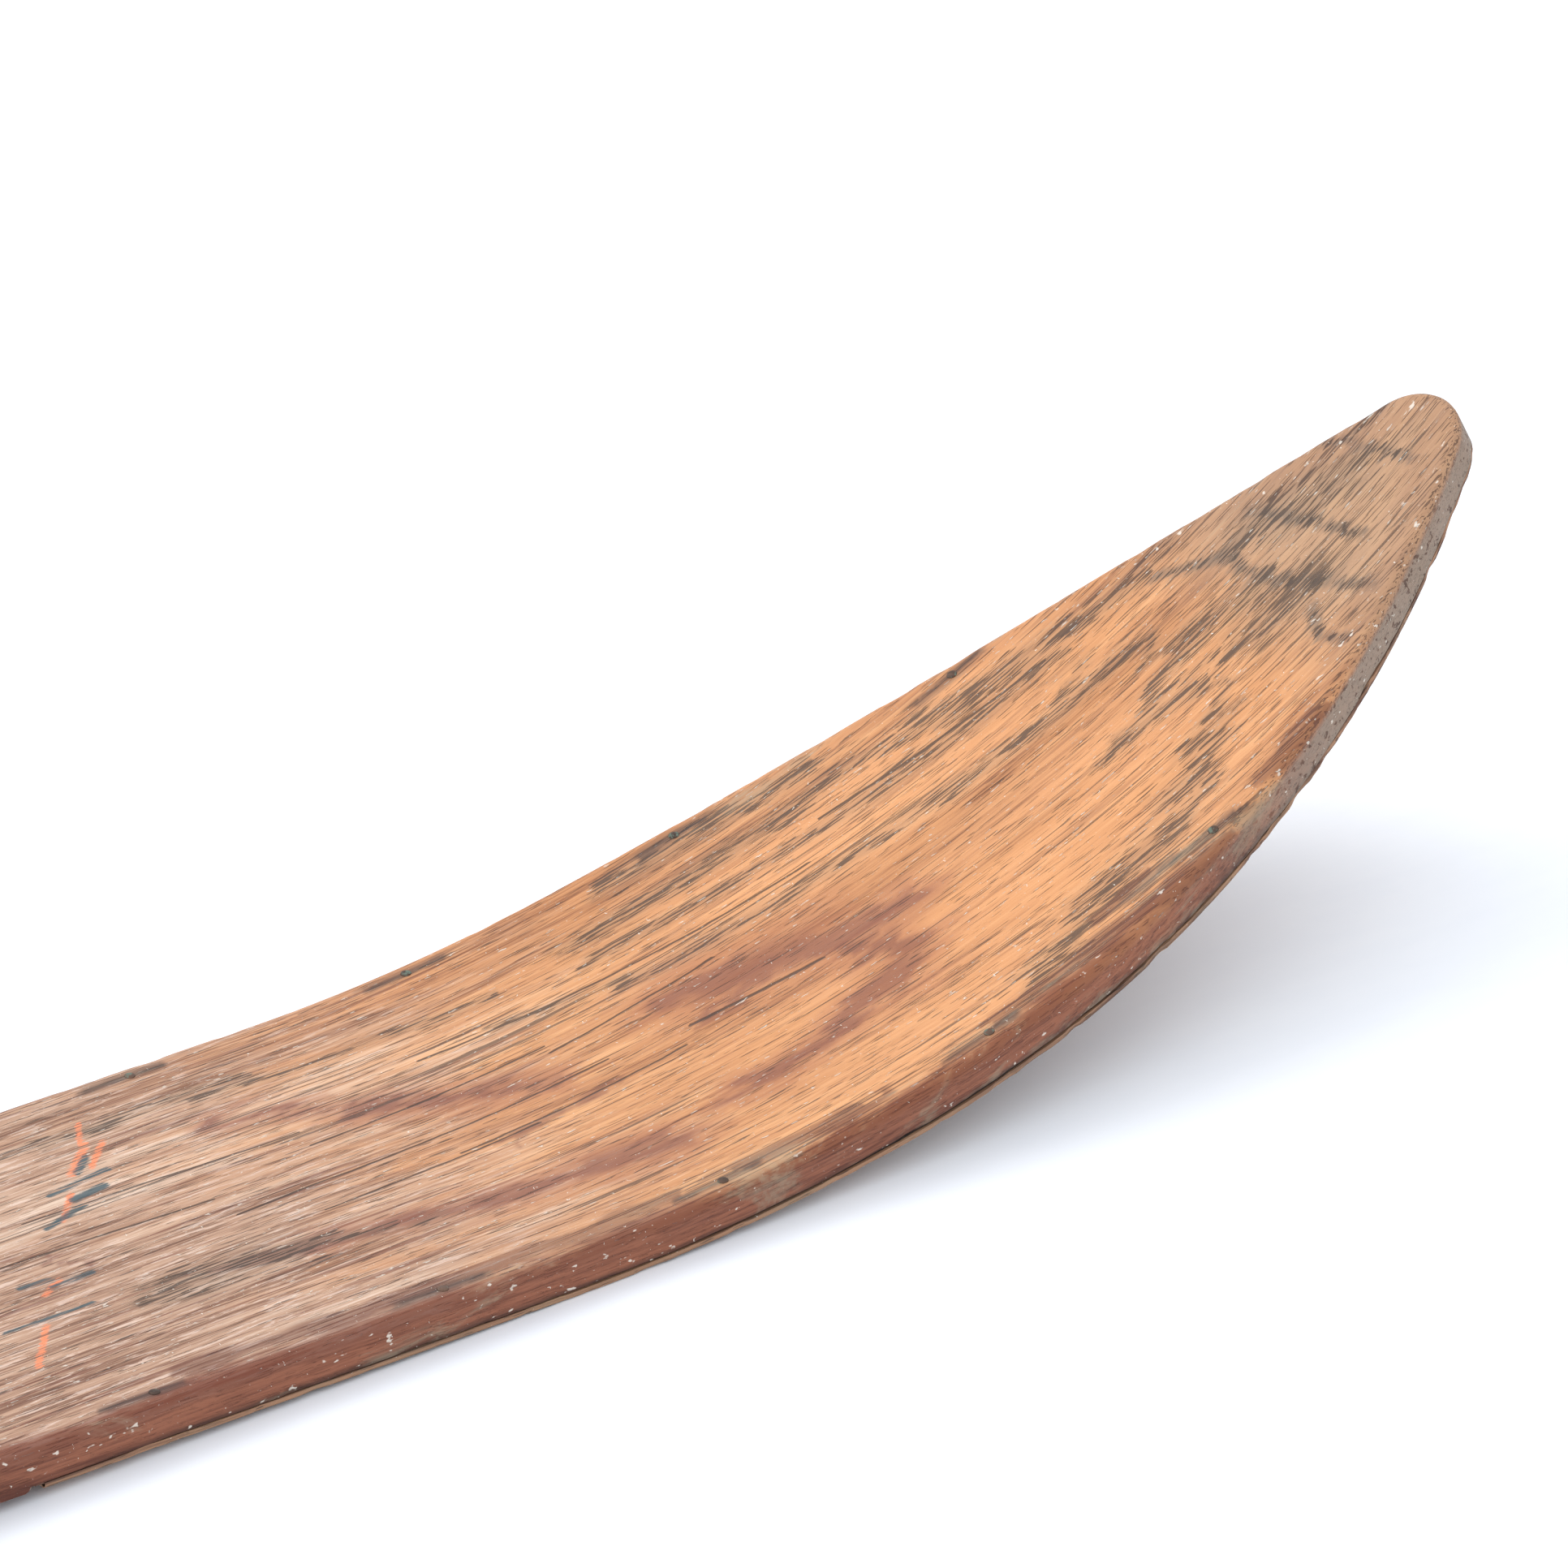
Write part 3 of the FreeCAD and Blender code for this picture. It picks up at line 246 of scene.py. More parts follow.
def flat_layer(name, back, low, high, columns):
    """A flat board between two heights, from a place along the board to the tip."""
    rows = [station for station in walk if outline(station, 0)[0] > back + 0.1 * MM]
    if back > TAIL + 1 * MM:
        rows = [("straight", back)] + rows
    bpy.ops.mesh.primitive_grid_add(x_subdivisions=len(rows), y_subdivisions=columns, size=1)
    piece = bpy.context.object
    piece.name = piece.data.name = name
    half_tail = outline(rows[0], 0)[1]
    order = sorted(piece.data.vertices, key=lambda v: (round(v.co.x, 6), v.co.y))
    across = columns + 1
    for index, vertex in enumerate(order):
        row, column = divmod(index, across)
        if row == 0:
            vertex.co = (outline(rows[0], 0)[0], half_tail * (2 * column / columns - 1), high)
            continue
        edge = outline(rows[row - 1], 0)
        inner = outline(rows[row - 1], BORDER)
        if row == 1 and back > TAIL + 1 * MM:
            inner = (inner[0] + BORDER, inner[1])
        if column in (0, columns):
            side = -1 if column == 0 else 1
            vertex.co = (edge[0], side * edge[1], high)
            continue
        share = 2 * (column - 1) / (columns - 2) - 1
        vertex.co = (inner[0], share * inner[1], high)
    tidy(piece)
    apply_modifier(piece, "SOLIDIFY", thickness=high - low, offset=-1, use_even_offset=False)
    tidy(piece)
    return piece


def near_outline(point, back):
    """Whether a flat point is on the outline: no other point of its row is further out."""
    if abs(point.x - back) < 0.05 * MM:
        return True
    if point.x < TAIL + TAIL_CORNER:
        reach = TAIL_CORNER - 0.05 * MM
        centre = Vector((TAIL + TAIL_CORNER, HALF - TAIL_CORNER))
        return (Vector((point.x, abs(point.y))) - centre).length > reach and abs(point.y) > centre.y - 1e-4
    if point.x < NOSE_START:
        return abs(point.y) > HALF - 0.05 * MM
    centre = Vector((NOSE_START, HALF - FLANK_RADIUS))
    from_flank = (Vector((point.x, abs(point.y))) - centre).length
    from_nose = Vector((point.x - NOSE_END, point.y)).length
    past = math.atan2(point.x - NOSE_START, abs(point.y) + FLANK_RADIUS - HALF) > FLANK_SWEEP - 0.001
    return from_flank > FLANK_RADIUS - 0.05 * MM or (past and from_nose > NOSE_RADIUS - 0.05 * MM)


def round_rim(piece, back, height, width, segments):
    """Bevels the outline's edge at one height."""
    edit_edges(piece, lambda p: abs(p.z - height) < 0.02 * MM and near_outline(p, back))
    bpy.ops.mesh.bevel(offset=width, segments=segments, profile=0.5, affect="EDGES", clamp_overlap=True)
    bpy.ops.object.mode_set(mode="OBJECT")


def wear_edge(piece, depth, size, seed):
    """Knocks the outline in by a fraction of a millimetre, unevenly, as use does."""
    for vertex in piece.data.vertices:
        place = Vector((vertex.co.x / size, vertex.co.y / size + seed, vertex.co.z / size))
        knock = max(0.0, noise.fractal(place, 1.0, 2.0, 4)) * depth
        if abs(vertex.co.y) > 1 * MM and near_band(vertex.co):
            deeper = 1.6 if vertex.co.x > NOSE_START and vertex.co.y < 0 else 1.0
            vertex.co.y -= math.copysign(knock * deeper, vertex.co.y)


def near_band(point):
    """Whether a flat point is within the rounding of the edge."""
    if point.x < NOSE_START:
        return abs(point.y) > HALF - 3.2 * MM
    centre = Vector((NOSE_START, HALF - FLANK_RADIUS))
    return (Vector((point.x, abs(point.y))) - centre).length > FLANK_RADIUS - 3.2 * MM


# %% [markdown]
# The board itself. Ahead of the kerf its underside is raised by the thickness of the glue
# and the sole layer, which lie there instead.

# %% Board
board = flat_layer("ski_board", TAIL, 0, THICK, 80)
for vertex in board.data.vertices:
    if vertex.co.z < THICK / 2 and vertex.co.x > -KERF_LENGTH - 1 * MM:
        vertex.co.z = KERF
round_rim(board, TAIL, THICK, 2.8 * MM, 4)
round_rim(board, TAIL, 0, 1.2 * MM, 2)
for vertex in board.data.vertices:
    place = vertex.co
    if place.z < KERF + 1.4 * MM and -0.02 < place.x < 0.26 and place.y < -0.02 and near_band(place):
        opened = math.sin(math.pi * (place.x + 0.02) / 0.28) * (1 + 0.6 * noise.noise(Vector((place.x * 60, 4, 0))))
        place.z += 0.7 * MM * max(0.0, opened)
wear_edge(board, 0.6 * MM, 14 * MM, 3.0)
wrap_board(board)
only(board)
bpy.ops.object.shade_smooth_by_angle(angle=math.radians(40))
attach(board, "ski")
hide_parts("board")
print("board:", len(board.data.polygons), "faces")

# %% Sole layer under the kerf
sole_layer = flat_layer("sole_layer", -KERF_LENGTH, 0, LAYER, 24)
round_rim(sole_layer, -KERF_LENGTH, 0, 0.8 * MM, 2)
wear_edge(sole_layer, 0.7 * MM, 9 * MM, 8.0)
wrap_board(sole_layer)
only(sole_layer)
bpy.ops.object.shade_smooth_by_angle(angle=math.radians(40))
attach(sole_layer, "ski")
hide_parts("tip_veneer")
print("sole layer:", len(sole_layer.data.polygons), "faces")

# %% [markdown]
# ## Building materials
#
# A few short helpers keep the node trees readable: one adds a node and fills its sockets,
# and the others are the handful of sums, blends and noises that every finish needs.

# %% Node helpers
def add(tree, kind, inputs=None, **settings):
    """Adds a node; an input is a value or another node's output."""
    made = tree.nodes.new(kind)
    for name, value in settings.items():
        setattr(made, name, value)
    for name, value in (inputs or {}).items():
        if isinstance(value, bpy.types.NodeSocket):
            tree.links.new(value, made.inputs[name])
        else:
            made.inputs[name].default_value = value
    return made


def calc(tree, operation, first, second=0.0, third=0.0, clamp=False):
    """One sum on one or more numbers."""
    inputs = {0: first, 1: second, 2: third}
    return add(tree, "ShaderNodeMath", inputs, operation=operation, use_clamp=clamp).outputs[0]


def band(tree, value, low, high, top=1.0):
    """Rises smoothly from 0 at low to top at high; high may be the smaller one."""
    inputs = {"Value": value, "From Min": low, "From Max": high, "To Min": 0.0, "To Max": top}
    return add(tree, "ShaderNodeMapRange", inputs, interpolation_type="SMOOTHSTEP").outputs[0]


def blend(tree, factor, first, second, kind="MIX"):
    """Mixes two colours."""
    made = add(tree, "ShaderNodeMix", {0: factor, 6: first, 7: second}, data_type="RGBA", blend_type=kind)
    return made.outputs[2]


def grained(tree, place, along, across, up, shift=(0, 0, 0)):
    """The place stretched, so that a noise in it draws long streaks."""
    inputs = {"Vector": place, "Location": shift, "Scale": (along, across, up)}
    return add(tree, "ShaderNodeMapping", inputs).outputs[0]


def speckle(tree, place, scale=1.0, detail=3.0, rough=0.5, warp=0.0):
    """A noise between 0 and 1."""
    inputs = {"Vector": place, "Scale": scale, "Detail": detail, "Roughness": rough, "Distortion": warp}
    return add(tree, "ShaderNodeTexNoise", inputs).outputs[0]


def colour(red, green, blue):
    """A colour for a socket, from the 0 to 255 values of a colour card."""
    def linear(value):
        value /= 255
        return value / 12.92 if value <= 0.04045 else ((value + 0.055) / 1.055) ** 2.4
    return (linear(red), linear(green), linear(blue), 1)


def new_group(name, numbers, outputs):
    """An empty node group with a place input, number inputs and number outputs."""
    tree = bpy.data.node_groups.new(name, "ShaderNodeTree")
    tree.interface.new_socket("Place", in_out="INPUT", socket_type="NodeSocketVector")
    for label, value in numbers.items():
        made = tree.interface.new_socket(label, in_out="INPUT", socket_type="NodeSocketFloat")
        made.default_value = value
    for label in outputs:
        tree.interface.new_socket(label, in_out="OUTPUT", socket_type="NodeSocketFloat")
    return tree, tree.nodes.new("NodeGroupInput"), tree.nodes.new("NodeGroupOutput")


def use(tree, group, place, **numbers):
    """Places a node group; underscores in the names stand for spaces."""
    inputs = {"Place": place}
    inputs.update({name.replace("_", " "): value for name, value in numbers.items()})
    made = add(tree, "ShaderNodeGroup", node_tree=group)
    for name, value in inputs.items():
        if isinstance(value, bpy.types.NodeSocket):
            tree.links.new(value, made.inputs[name])
        else:
            made.inputs[name].default_value = value
    return made


def new_material(name):
    """A material with its tree and its shader."""
    material = bpy.data.materials.new(name)
    material.use_nodes = True
    return material, material.node_tree, material.node_tree.nodes["Principled BSDF"]


def finish_with(tree, shader, height, strength, distance, **sockets):
    """Links colours and masks to the shader, and a height through a bump."""
    bump = add(tree, "ShaderNodeBump", {"Height": height, "Strength": strength, "Distance": distance})
    tree.links.new(bump.outputs[0], shader.inputs["Normal"])
    for name, value in sockets.items():
        name = name.replace("_", " ")
        if isinstance(value, bpy.types.NodeSocket):
            tree.links.new(value, shader.inputs[name])
        else:
            shader.inputs[name].default_value = value


# %% [markdown]
# ## Shared effects
#
# Three groups are used by several finishes. `Open_pores` draws the short dark dashes of a
# ring-porous wood, `Stroke` is one band along a line on the deck, ragged at its
# sides, and `Dirt` is the dust and small specks that settle on everything.

# %% Open pores
pores_group, pores_in, pores_out = new_group(
    "Open_pores", {"Length": 60.0, "Width": 1500.0, "Amount": 0.5, "Seed": 0.0}, ["Mask"])
tree = pores_group
scale = add(tree, "ShaderNodeCombineXYZ", {0: pores_in.outputs["Length"], 1: pores_in.outputs["Width"],
                                          2: pores_in.outputs["Width"]}).outputs[0]
scaled = add(tree, "ShaderNodeVectorMath", {0: pores_in.outputs["Place"], 1: scale}, operation="MULTIPLY")
offset = add(tree, "ShaderNodeCombineXYZ", {0: pores_in.outputs["Seed"]}).outputs[0]
moved = add(tree, "ShaderNodeVectorMath", {0: scaled.outputs[0], 1: offset}, operation="ADD").outputs[0]
raw = speckle(tree, moved, 1.0, 1.5, 0.6, 0.15)
edge = calc(tree, "SUBTRACT", 0.82, calc(tree, "MULTIPLY", pores_in.outputs["Amount"], 0.40))
tree.links.new(band(tree, raw, edge, calc(tree, "ADD", edge, 0.05)), pores_out.inputs["Mask"])
print("group:", pores_group.name)

# %% Stroke
stroke_group = bpy.data.node_groups.new("Stroke", "ShaderNodeTree")
for label, kind, value in (("Place", "NodeSocketVector", None), ("Start X", "NodeSocketFloat", 0.0),
                           ("Start Y", "NodeSocketFloat", 0.0), ("End X", "NodeSocketFloat", 0.1),
                           ("End Y", "NodeSocketFloat", 0.0), ("Width", "NodeSocketFloat", 0.004),
                           ("Softness", "NodeSocketFloat", 0.5)):
    made = stroke_group.interface.new_socket(label, in_out="INPUT", socket_type=kind)
    if value is not None:
        made.default_value = value
stroke_group.interface.new_socket("Mask", in_out="OUTPUT", socket_type="NodeSocketFloat")
tree = stroke_group
stroke_in, stroke_out = tree.nodes.new("NodeGroupInput"), tree.nodes.new("NodeGroupOutput")
given = stroke_in.outputs
split = add(tree, "ShaderNodeSeparateXYZ", {0: given["Place"]})
run_x = calc(tree, "SUBTRACT", given["End X"], given["Start X"])
run_y = calc(tree, "SUBTRACT", given["End Y"], given["Start Y"])
off_x = calc(tree, "SUBTRACT", split.outputs[0], given["Start X"])
off_y = calc(tree, "SUBTRACT", split.outputs[1], given["Start Y"])
dot = calc(tree, "ADD", calc(tree, "MULTIPLY", off_x, run_x), calc(tree, "MULTIPLY", off_y, run_y))
square = calc(tree, "ADD", calc(tree, "MULTIPLY", run_x, run_x), calc(tree, "MULTIPLY", run_y, run_y))
share = calc(tree, "DIVIDE", dot, square, clamp=True)
miss_x = calc(tree, "SUBTRACT", off_x, calc(tree, "MULTIPLY", share, run_x))
miss_y = calc(tree, "SUBTRACT", off_y, calc(tree, "MULTIPLY", share, run_y))
far = calc(tree, "SQRT", calc(tree, "ADD", calc(tree, "MULTIPLY", miss_x, miss_x),
                              calc(tree, "MULTIPLY", miss_y, miss_y)))
relative = calc(tree, "DIVIDE", far, given["Width"])
inner = calc(tree, "SUBTRACT", 1.0, given["Softness"])
fade = band(tree, relative, calc(tree, "ADD", 1.0, given["Softness"]), inner)
tree.links.new(fade, stroke_out.inputs["Mask"])
print("group:", stroke_group.name)

# %% Dirt
dirt_group, dirt_in, dirt_out = new_group(
    "Dirt", {"Scale": 1.0, "Specks": 0.5, "Seed": 0.0}, ["Film", "Specks"])
tree = dirt_group
place = add(tree, "ShaderNodeVectorMath", {0: dirt_in.outputs["Place"], 1: dirt_in.outputs["Scale"]},
            operation="MULTIPLY").outputs[0]
shifted = add(tree, "ShaderNodeVectorMath",
              {0: place, 1: add(tree, "ShaderNodeCombineXYZ", {1: dirt_in.outputs["Seed"]}).outputs[0]},
              operation="ADD").outputs[0]
film = band(tree, speckle(tree, shifted, 35.0, 6.0, 0.65, 0.6), 0.42, 0.78)
grit = speckle(tree, shifted, 900.0, 2.0, 0.6, 0.8)
limit = calc(tree, "SUBTRACT", 0.80, calc(tree, "MULTIPLY", dirt_in.outputs["Specks"], 0.12))
tree.links.new(film, dirt_out.inputs["Film"])
tree.links.new(band(tree, grit, limit, calc(tree, "ADD", limit, 0.03)), dirt_out.inputs["Specks"])
print("group:", dirt_group.name)

# %% [markdown]
# ## The board's finish
#
# Old varnished hardwood is several things at once, laid one over another:
#
# 1. straight streaks of light and dark wood along the grain;
# 2. open pores, gathered into grey bands where a growth ring comes to the surface;
# 3. purple-brown water stains that follow the figure in long U shapes;
# 4. varnish, left in patches: warm where it stays, pinkish grey where it's gone;
# 5. grime near the edges and dust in the grain.
#
# All of it reads the `grain` attribute, so it follows the board round the bend. The bands
# and stains are listed in millimetres along the deck and across it.

# %% Marks on the deck, in millimetres: start, end, half width
STAINS = [
    ((-32, 39), (-6, 30), 2.6), ((-4, 24), (16, 14), 3.4), ((16, 13), (34, 5), 4.2), ((34, 5), (50, 1), 3.0),
    ((100, 10), (128, 2), 5.5), ((112, 8), (150, -3), 7.5), ((142, -4), (170, -6), 4.5),
    ((150, -8), (156, -22), 7.0), ((156, -20), (146, -30), 6.0), ((146, -29), (124, -38), 3.6),
    ((124, -38), (96, -42), 2.8), ((96, -42), (84, -41), 3.6), ((58, -48), (36, -46), 4.6),
    ((36, -46), (-4, -41), 3.0), ((-4, -41), (-48, -35), 2.4), ((-48, -35), (-92, -29), 2.4),
    ((-126, 8), (-108, -8), 2.4), ((128, 0), (98, -6), 1.6), ((60, -14), (20, -20), 1.6),
]
PORE_BANDS = [
    ((262, 26), (284, 16), 4.0), ((282, 15), (287, 4), 4.0), ((286, 5), (270, -4), 3.6),
    ((254, -8), (284, -10), 3.0), ((280, -12), (276, -28), 5.0), ((276, -28), (244, -42), 4.6),
    ((250, -47), (196, -53), 5.6), ((194, -60), (170, -64), 4.6), ((62, 34), (100, 26), 2.2),
    ((100, 25), (200, 22), 2.6), ((196, 22), (276, 18), 2.8), ((96, 43), (180, 40), 2.0),
    ((180, 40), (256, 38), 3.2), ((100, 52), (214, 56), 3.0), ((120, 70), (196, 66), 4.2),
    ((220, 50), (300, 40), 4.2), ((-100, -32), (-58, -32), 6.5), ((-60, -30), (-20, -40), 3.0),
    ((290, 8), (316, -2), 4.0), ((300, -10), (326, -12), 6.0), ((330, 20), (360, 8), 7.0),
    ((-30, 52), (60, 48), 2.0), ((-90, 56), (-10, 56), 2.2),
]
RING_LINES = [
    ((302, 34), (318, 20), 2.0), ((318, 20), (318, 4), 2.6), ((318, 4), (325, -12), 2.2),
    ((325, -12), (333, -30), 2.4), ((318, -20), (311, -30), 2.2), ((311, -30), (315, -38), 2.0),
    ((334, 26), (340, 8), 1.8), ((340, 8), (345, -14), 2.0), ((365, 22), (369, 6), 2.0),
    ((369, 6), (372, -8), 1.7), ((370, 16), (386, 15), 0.9),
]
CRACKS = [
    ((30, 33), (165, 30.5), 0.35), ((96, -5), (140, -8), 0.55), ((-60, -8), (70, -2), 0.3),
    ((180, 44), (262, 39), 0.45), ((-110, 22), (-20, 20), 0.3), ((366, 18), (386, 16), 0.4),
    ((10, -16), (90, -12), 0.3), ((-40, -20), (36, -16), 0.3), ((-150, 6), (-60, 3), 0.3),
    ((60, 12), (120, 17), 0.3), ((-20, 12), (60, 16), 0.3),
]
WORN_EDGE = [
    ((268, -56), (300, -52), 4.0), ((150, -70), (240, -66), 3.4), ((60, -71), (110, -72), 2.6),
    ((-120, -70), (40, -72), 3.6), ((196, -60), (226, -58), 2.6),
]
PINS_ALONG = [243.1, 149.1, 55.1, -38.9, -132.9]
print(len(STAINS) + len(PORE_BANDS) + len(RING_LINES) + len(CRACKS), "marks")


def loose_boxes(node_name):
    """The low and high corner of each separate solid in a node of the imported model."""
    graph = bmesh.new()
    graph.from_mesh(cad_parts[node_name].data)
    bmesh.ops.remove_doubles(graph, verts=graph.verts, dist=0.000001)
    left, found = set(graph.verts), []
    while left:
        group, border = set(), [left.pop()]
        while border:
            vertex = border.pop()
            group.add(vertex)
            for edge in vertex.link_edges:
                other = edge.other_vert(vertex)
                if other in left:
                    left.discard(other)
                    border.append(other)
        low = Vector(min(v.co[axis] for v in group) for axis in range(3))
        high = Vector(max(v.co[axis] for v in group) for axis in range(3))
        found.append((low, high))
    graph.free()
    return sorted(found, key=lambda pair: -pair[0].x)


pin_boxes = {side: loose_boxes(f"pins_{side}") for side in ("left", "right")}
PIN_STAINS = []
for side in ("left", "right"):
    for along, (low, high) in zip(PINS_ALONG, pin_boxes[side]):
        y = (low.y + high.y) / 2 / MM
        PIN_STAINS.append(((along - 15, y), (along + 12, y), 1.5))
print(len(PIN_STAINS), "pins")

# %% [markdown]
# The broad marks are painted onto the board's mesh: every point gets a strength from each
# table, after its place has been shaken a little along the grain, so that no mark has a ruled
# edge. The shader then frays them with its own fine streaks. Marks finer than the mesh are
# made in the shader instead, each one a `Stroke`.

# %% Painting the broad marks
def strokes_at(points, table, softness, wider=1.0):
    """How strongly the strokes of a table cover each point, from 0 to 1."""
    total = np.zeros(len(points))
    for start, end, width in table:
        start, run = np.array(start) * MM, (np.array(end) - np.array(start)) * MM
        share = np.clip((points - start) @ run / (run @ run), 0, 1)
        far = np.linalg.norm(points - start - share[:, None] * run, axis=1) / (width * wider * MM)
        total = np.maximum(total, np.clip((1 + softness - far) / (2 * softness), 0, 1))
    return total * total * (3 - 2 * total)


def shaken_points(mesh, along, across, scale, seed):
    """The flat places of a mesh's points, moved about by a noise."""
    places = []
    for entry in mesh.attributes["grain"].data:
        x, y = entry.vector.x, entry.vector.y
        move = noise.noise_vector(Vector((x * scale, y * scale * 5, seed)))
        fine = noise.noise_vector(Vector((x * scale * 3, y * scale * 12, seed + 5)))
        places.append((x + (move.x + 0.5 * fine.x) * along * MM, y + (move.y + 0.5 * fine.y) * across * MM))
    return np.array(places)


def paint(mesh, name, strengths):
    """Stores one number for each point of a mesh."""
    layer = mesh.attributes.new(name, "FLOAT", "POINT")
    layer.data.foreach_set("value", strengths.astype(np.float32))


flowing = shaken_points(board.data, 12, 4, 45, 1.0)
combed = shaken_points(board.data, 16, 2.5, 50, 7.0)
straight_grain = shaken_points(board.data, 5, 0.8, 60, 3.0)
paint(board.data, "stain", strokes_at(flowing, STAINS, 0.85))
paint(board.data, "halo", strokes_at(flowing, STAINS[:15], 0.95, wider=2.6))
paint(board.data, "pore_band", strokes_at(combed, PORE_BANDS, 0.9, wider=1.15))
paint(board.data, "worn", strokes_at(combed, WORN_EDGE, 0.9))
paint(board.data, "pin_mark", strokes_at(straight_grain, PIN_STAINS, 0.9))


# %% Laying the fine marks
def marks(tree, place, table, softness):
    """The strongest of many strokes at each point."""
    total = None
    for (x0, y0), (x1, y1), width in table:
        stroke = use(tree, stroke_group, place, Start_X=x0 * MM, Start_Y=y0 * MM, End_X=x1 * MM,
                     End_Y=y1 * MM, Width=width * MM, Softness=softness).outputs[0]
        total = stroke if total is None else calc(tree, "MAXIMUM", total, stroke)
    return total


def shaken(tree, place, along, across, scale):
    """The place moved about by a noise, as far as the two distances in millimetres."""
    wobble = add(tree, "ShaderNodeTexNoise", {"Vector": grained(tree, place, scale, scale * 6, scale),
                                              "Scale": 1.0, "Detail": 4.0, "Roughness": 0.7})
    centred = add(tree, "ShaderNodeVectorMath", {0: wobble.outputs["Color"], 1: (0.5, 0.5, 0.5)},
                  operation="SUBTRACT").outputs[0]
    sized = add(tree, "ShaderNodeVectorMath", {0: centred, 1: (along * MM, across * MM, 0)},
                operation="MULTIPLY").outputs[0]
    return add(tree, "ShaderNodeVectorMath", {0: place, 1: sized}, operation="ADD").outputs[0]


def painted(tree, name):
    """A strength that was painted on the mesh."""
    return add(tree, "ShaderNodeAttribute", attribute_name=name).outputs["Fac"]


def frayed(tree, strength, reach, low, high):
    """A painted strength with its edge broken up by the fine streaks of the wood."""
    moved = calc(tree, "MULTIPLY", calc(tree, "SUBTRACT", tone, 0.5), reach)
    return band(tree, calc(tree, "ADD", strength, moved), low, high)


# %% Colours of the wood
WARM = [colour(140, 88, 56), colour(194, 134, 88), colour(220, 162, 112)]
COOL = [colour(118, 82, 64), colour(178, 141, 117), colour(214, 187, 165)]
TIP_GREY = colour(164, 138, 114)
STAIN = colour(108, 58, 52)
PORE = colour(60, 48, 42)
GREY_BAND = colour(116, 100, 84)
EDGE_BROWN = colour(112, 56, 38)
DUST = colour(232, 222, 208)

# %% [markdown]
# The finish itself. The comments name the layer that each few lines lay down.

# %% Board finish
wood, tree, shader = new_material("worn_ash")
place = add(tree, "ShaderNodeAttribute", attribute_name="grain").outputs["Vector"]
flat_x, flat_y, flat_z = add(tree, "ShaderNodeSeparateXYZ", {0: place}).outputs[:3]

# streaks: broad, middling and hair-fine, all leaning a little as the grain does
lean = add(tree, "ShaderNodeMapping", {"Vector": place, "Rotation": (0, 0, math.radians(-1.5))}).outputs[0]
broad = speckle(tree, grained(tree, lean, 3.0, 42, 42), 1.0, 4.0, 0.55, 0.5)
middle = speckle(tree, grained(tree, lean, 11, 290, 220, (3, 7, 1)), 1.0, 4.0, 0.66, 0.3)
hair = speckle(tree, grained(tree, lean, 38, 1500, 1200, (5, 2, 9)), 1.0, 3.0, 0.65)
tone = calc(tree, "ADD", calc(tree, "MULTIPLY", broad, 0.30),
            calc(tree, "ADD", calc(tree, "MULTIPLY", middle, 0.38), calc(tree, "MULTIPLY", hair, 0.32)))


def three_tones(palette):
    """From dark to middle to light wood as the tone rises."""
    low_part = blend(tree, band(tree, tone, 0.38, 0.50), palette[0], palette[1])
    return blend(tree, band(tree, tone, 0.48, 0.64), low_part, palette[2])


patches = speckle(tree, grained(tree, lean, 9, 60, 30, (1, 4, 0)), 1.0, 6.0, 0.7, 0.8)
cooler = calc(tree, "ADD", flat_x, calc(tree, "MULTIPLY", calc(tree, "SUBTRACT", patches, 0.5), 0.34))
tailward = band(tree, cooler, 0.09, -0.09)
base = blend(tree, tailward, three_tones(WARM), three_tones(COOL))
# painted highlight: between 50 and 330 mm past the start of the bend the deck is blended towards a brighter orange,
# broken up by the broad streaks
painted_highlight = calc(tree, "MULTIPLY", band(tree, flat_x, 0.05, 0.17), band(tree, flat_x, 0.33, 0.24))
painted_highlight = calc(tree, "MULTIPLY", painted_highlight, band(tree, broad, 0.40, 0.58))
base = blend(tree, calc(tree, "MULTIPLY", painted_highlight, 0.45), base, colour(226, 160, 108))

# weathering: pale flakes and dark streaks towards the tail
flakes = band(tree, speckle(tree, grained(tree, lean, 55, 620, 300, (9, 1, 3)), 1.0, 5.0, 0.7, 0.5), 0.54, 0.60)
base = blend(tree, calc(tree, "MULTIPLY", calc(tree, "MULTIPLY", flakes, tailward), 0.50), base,
             colour(226, 200, 184))
dark_runs = band(tree, speckle(tree, grained(tree, lean, 11, 420, 300, (2, 8, 5)), 1.0, 4.0, 0.6, 0.2), 0.55, 0.66)
run_share = calc(tree, "ADD", 0.35, calc(tree, "MULTIPLY", tailward, 0.40))
base = blend(tree, calc(tree, "MULTIPLY", dark_runs, run_share), base, colour(112, 66, 50))
tipward = band(tree, flat_x, 0.285, 0.335)
base = blend(tree, calc(tree, "MULTIPLY", tipward, 0.60), base, TIP_GREY)

# water stains, with a soft halo
halo = frayed(tree, painted(tree, "halo"), 1.0, 0.10, 1.00)
base = blend(tree, calc(tree, "MULTIPLY", halo, 0.42), base, colour(150, 88, 66))
stains = frayed(tree, painted(tree, "stain"), 2.0, 0.15, 1.25)
stains = calc(tree, "MULTIPLY", stains, band(tree, painted(tree, "stain"), 0.0, 0.3))
base = blend(tree, calc(tree, "MULTIPLY", stains, 0.64), base, STAIN)

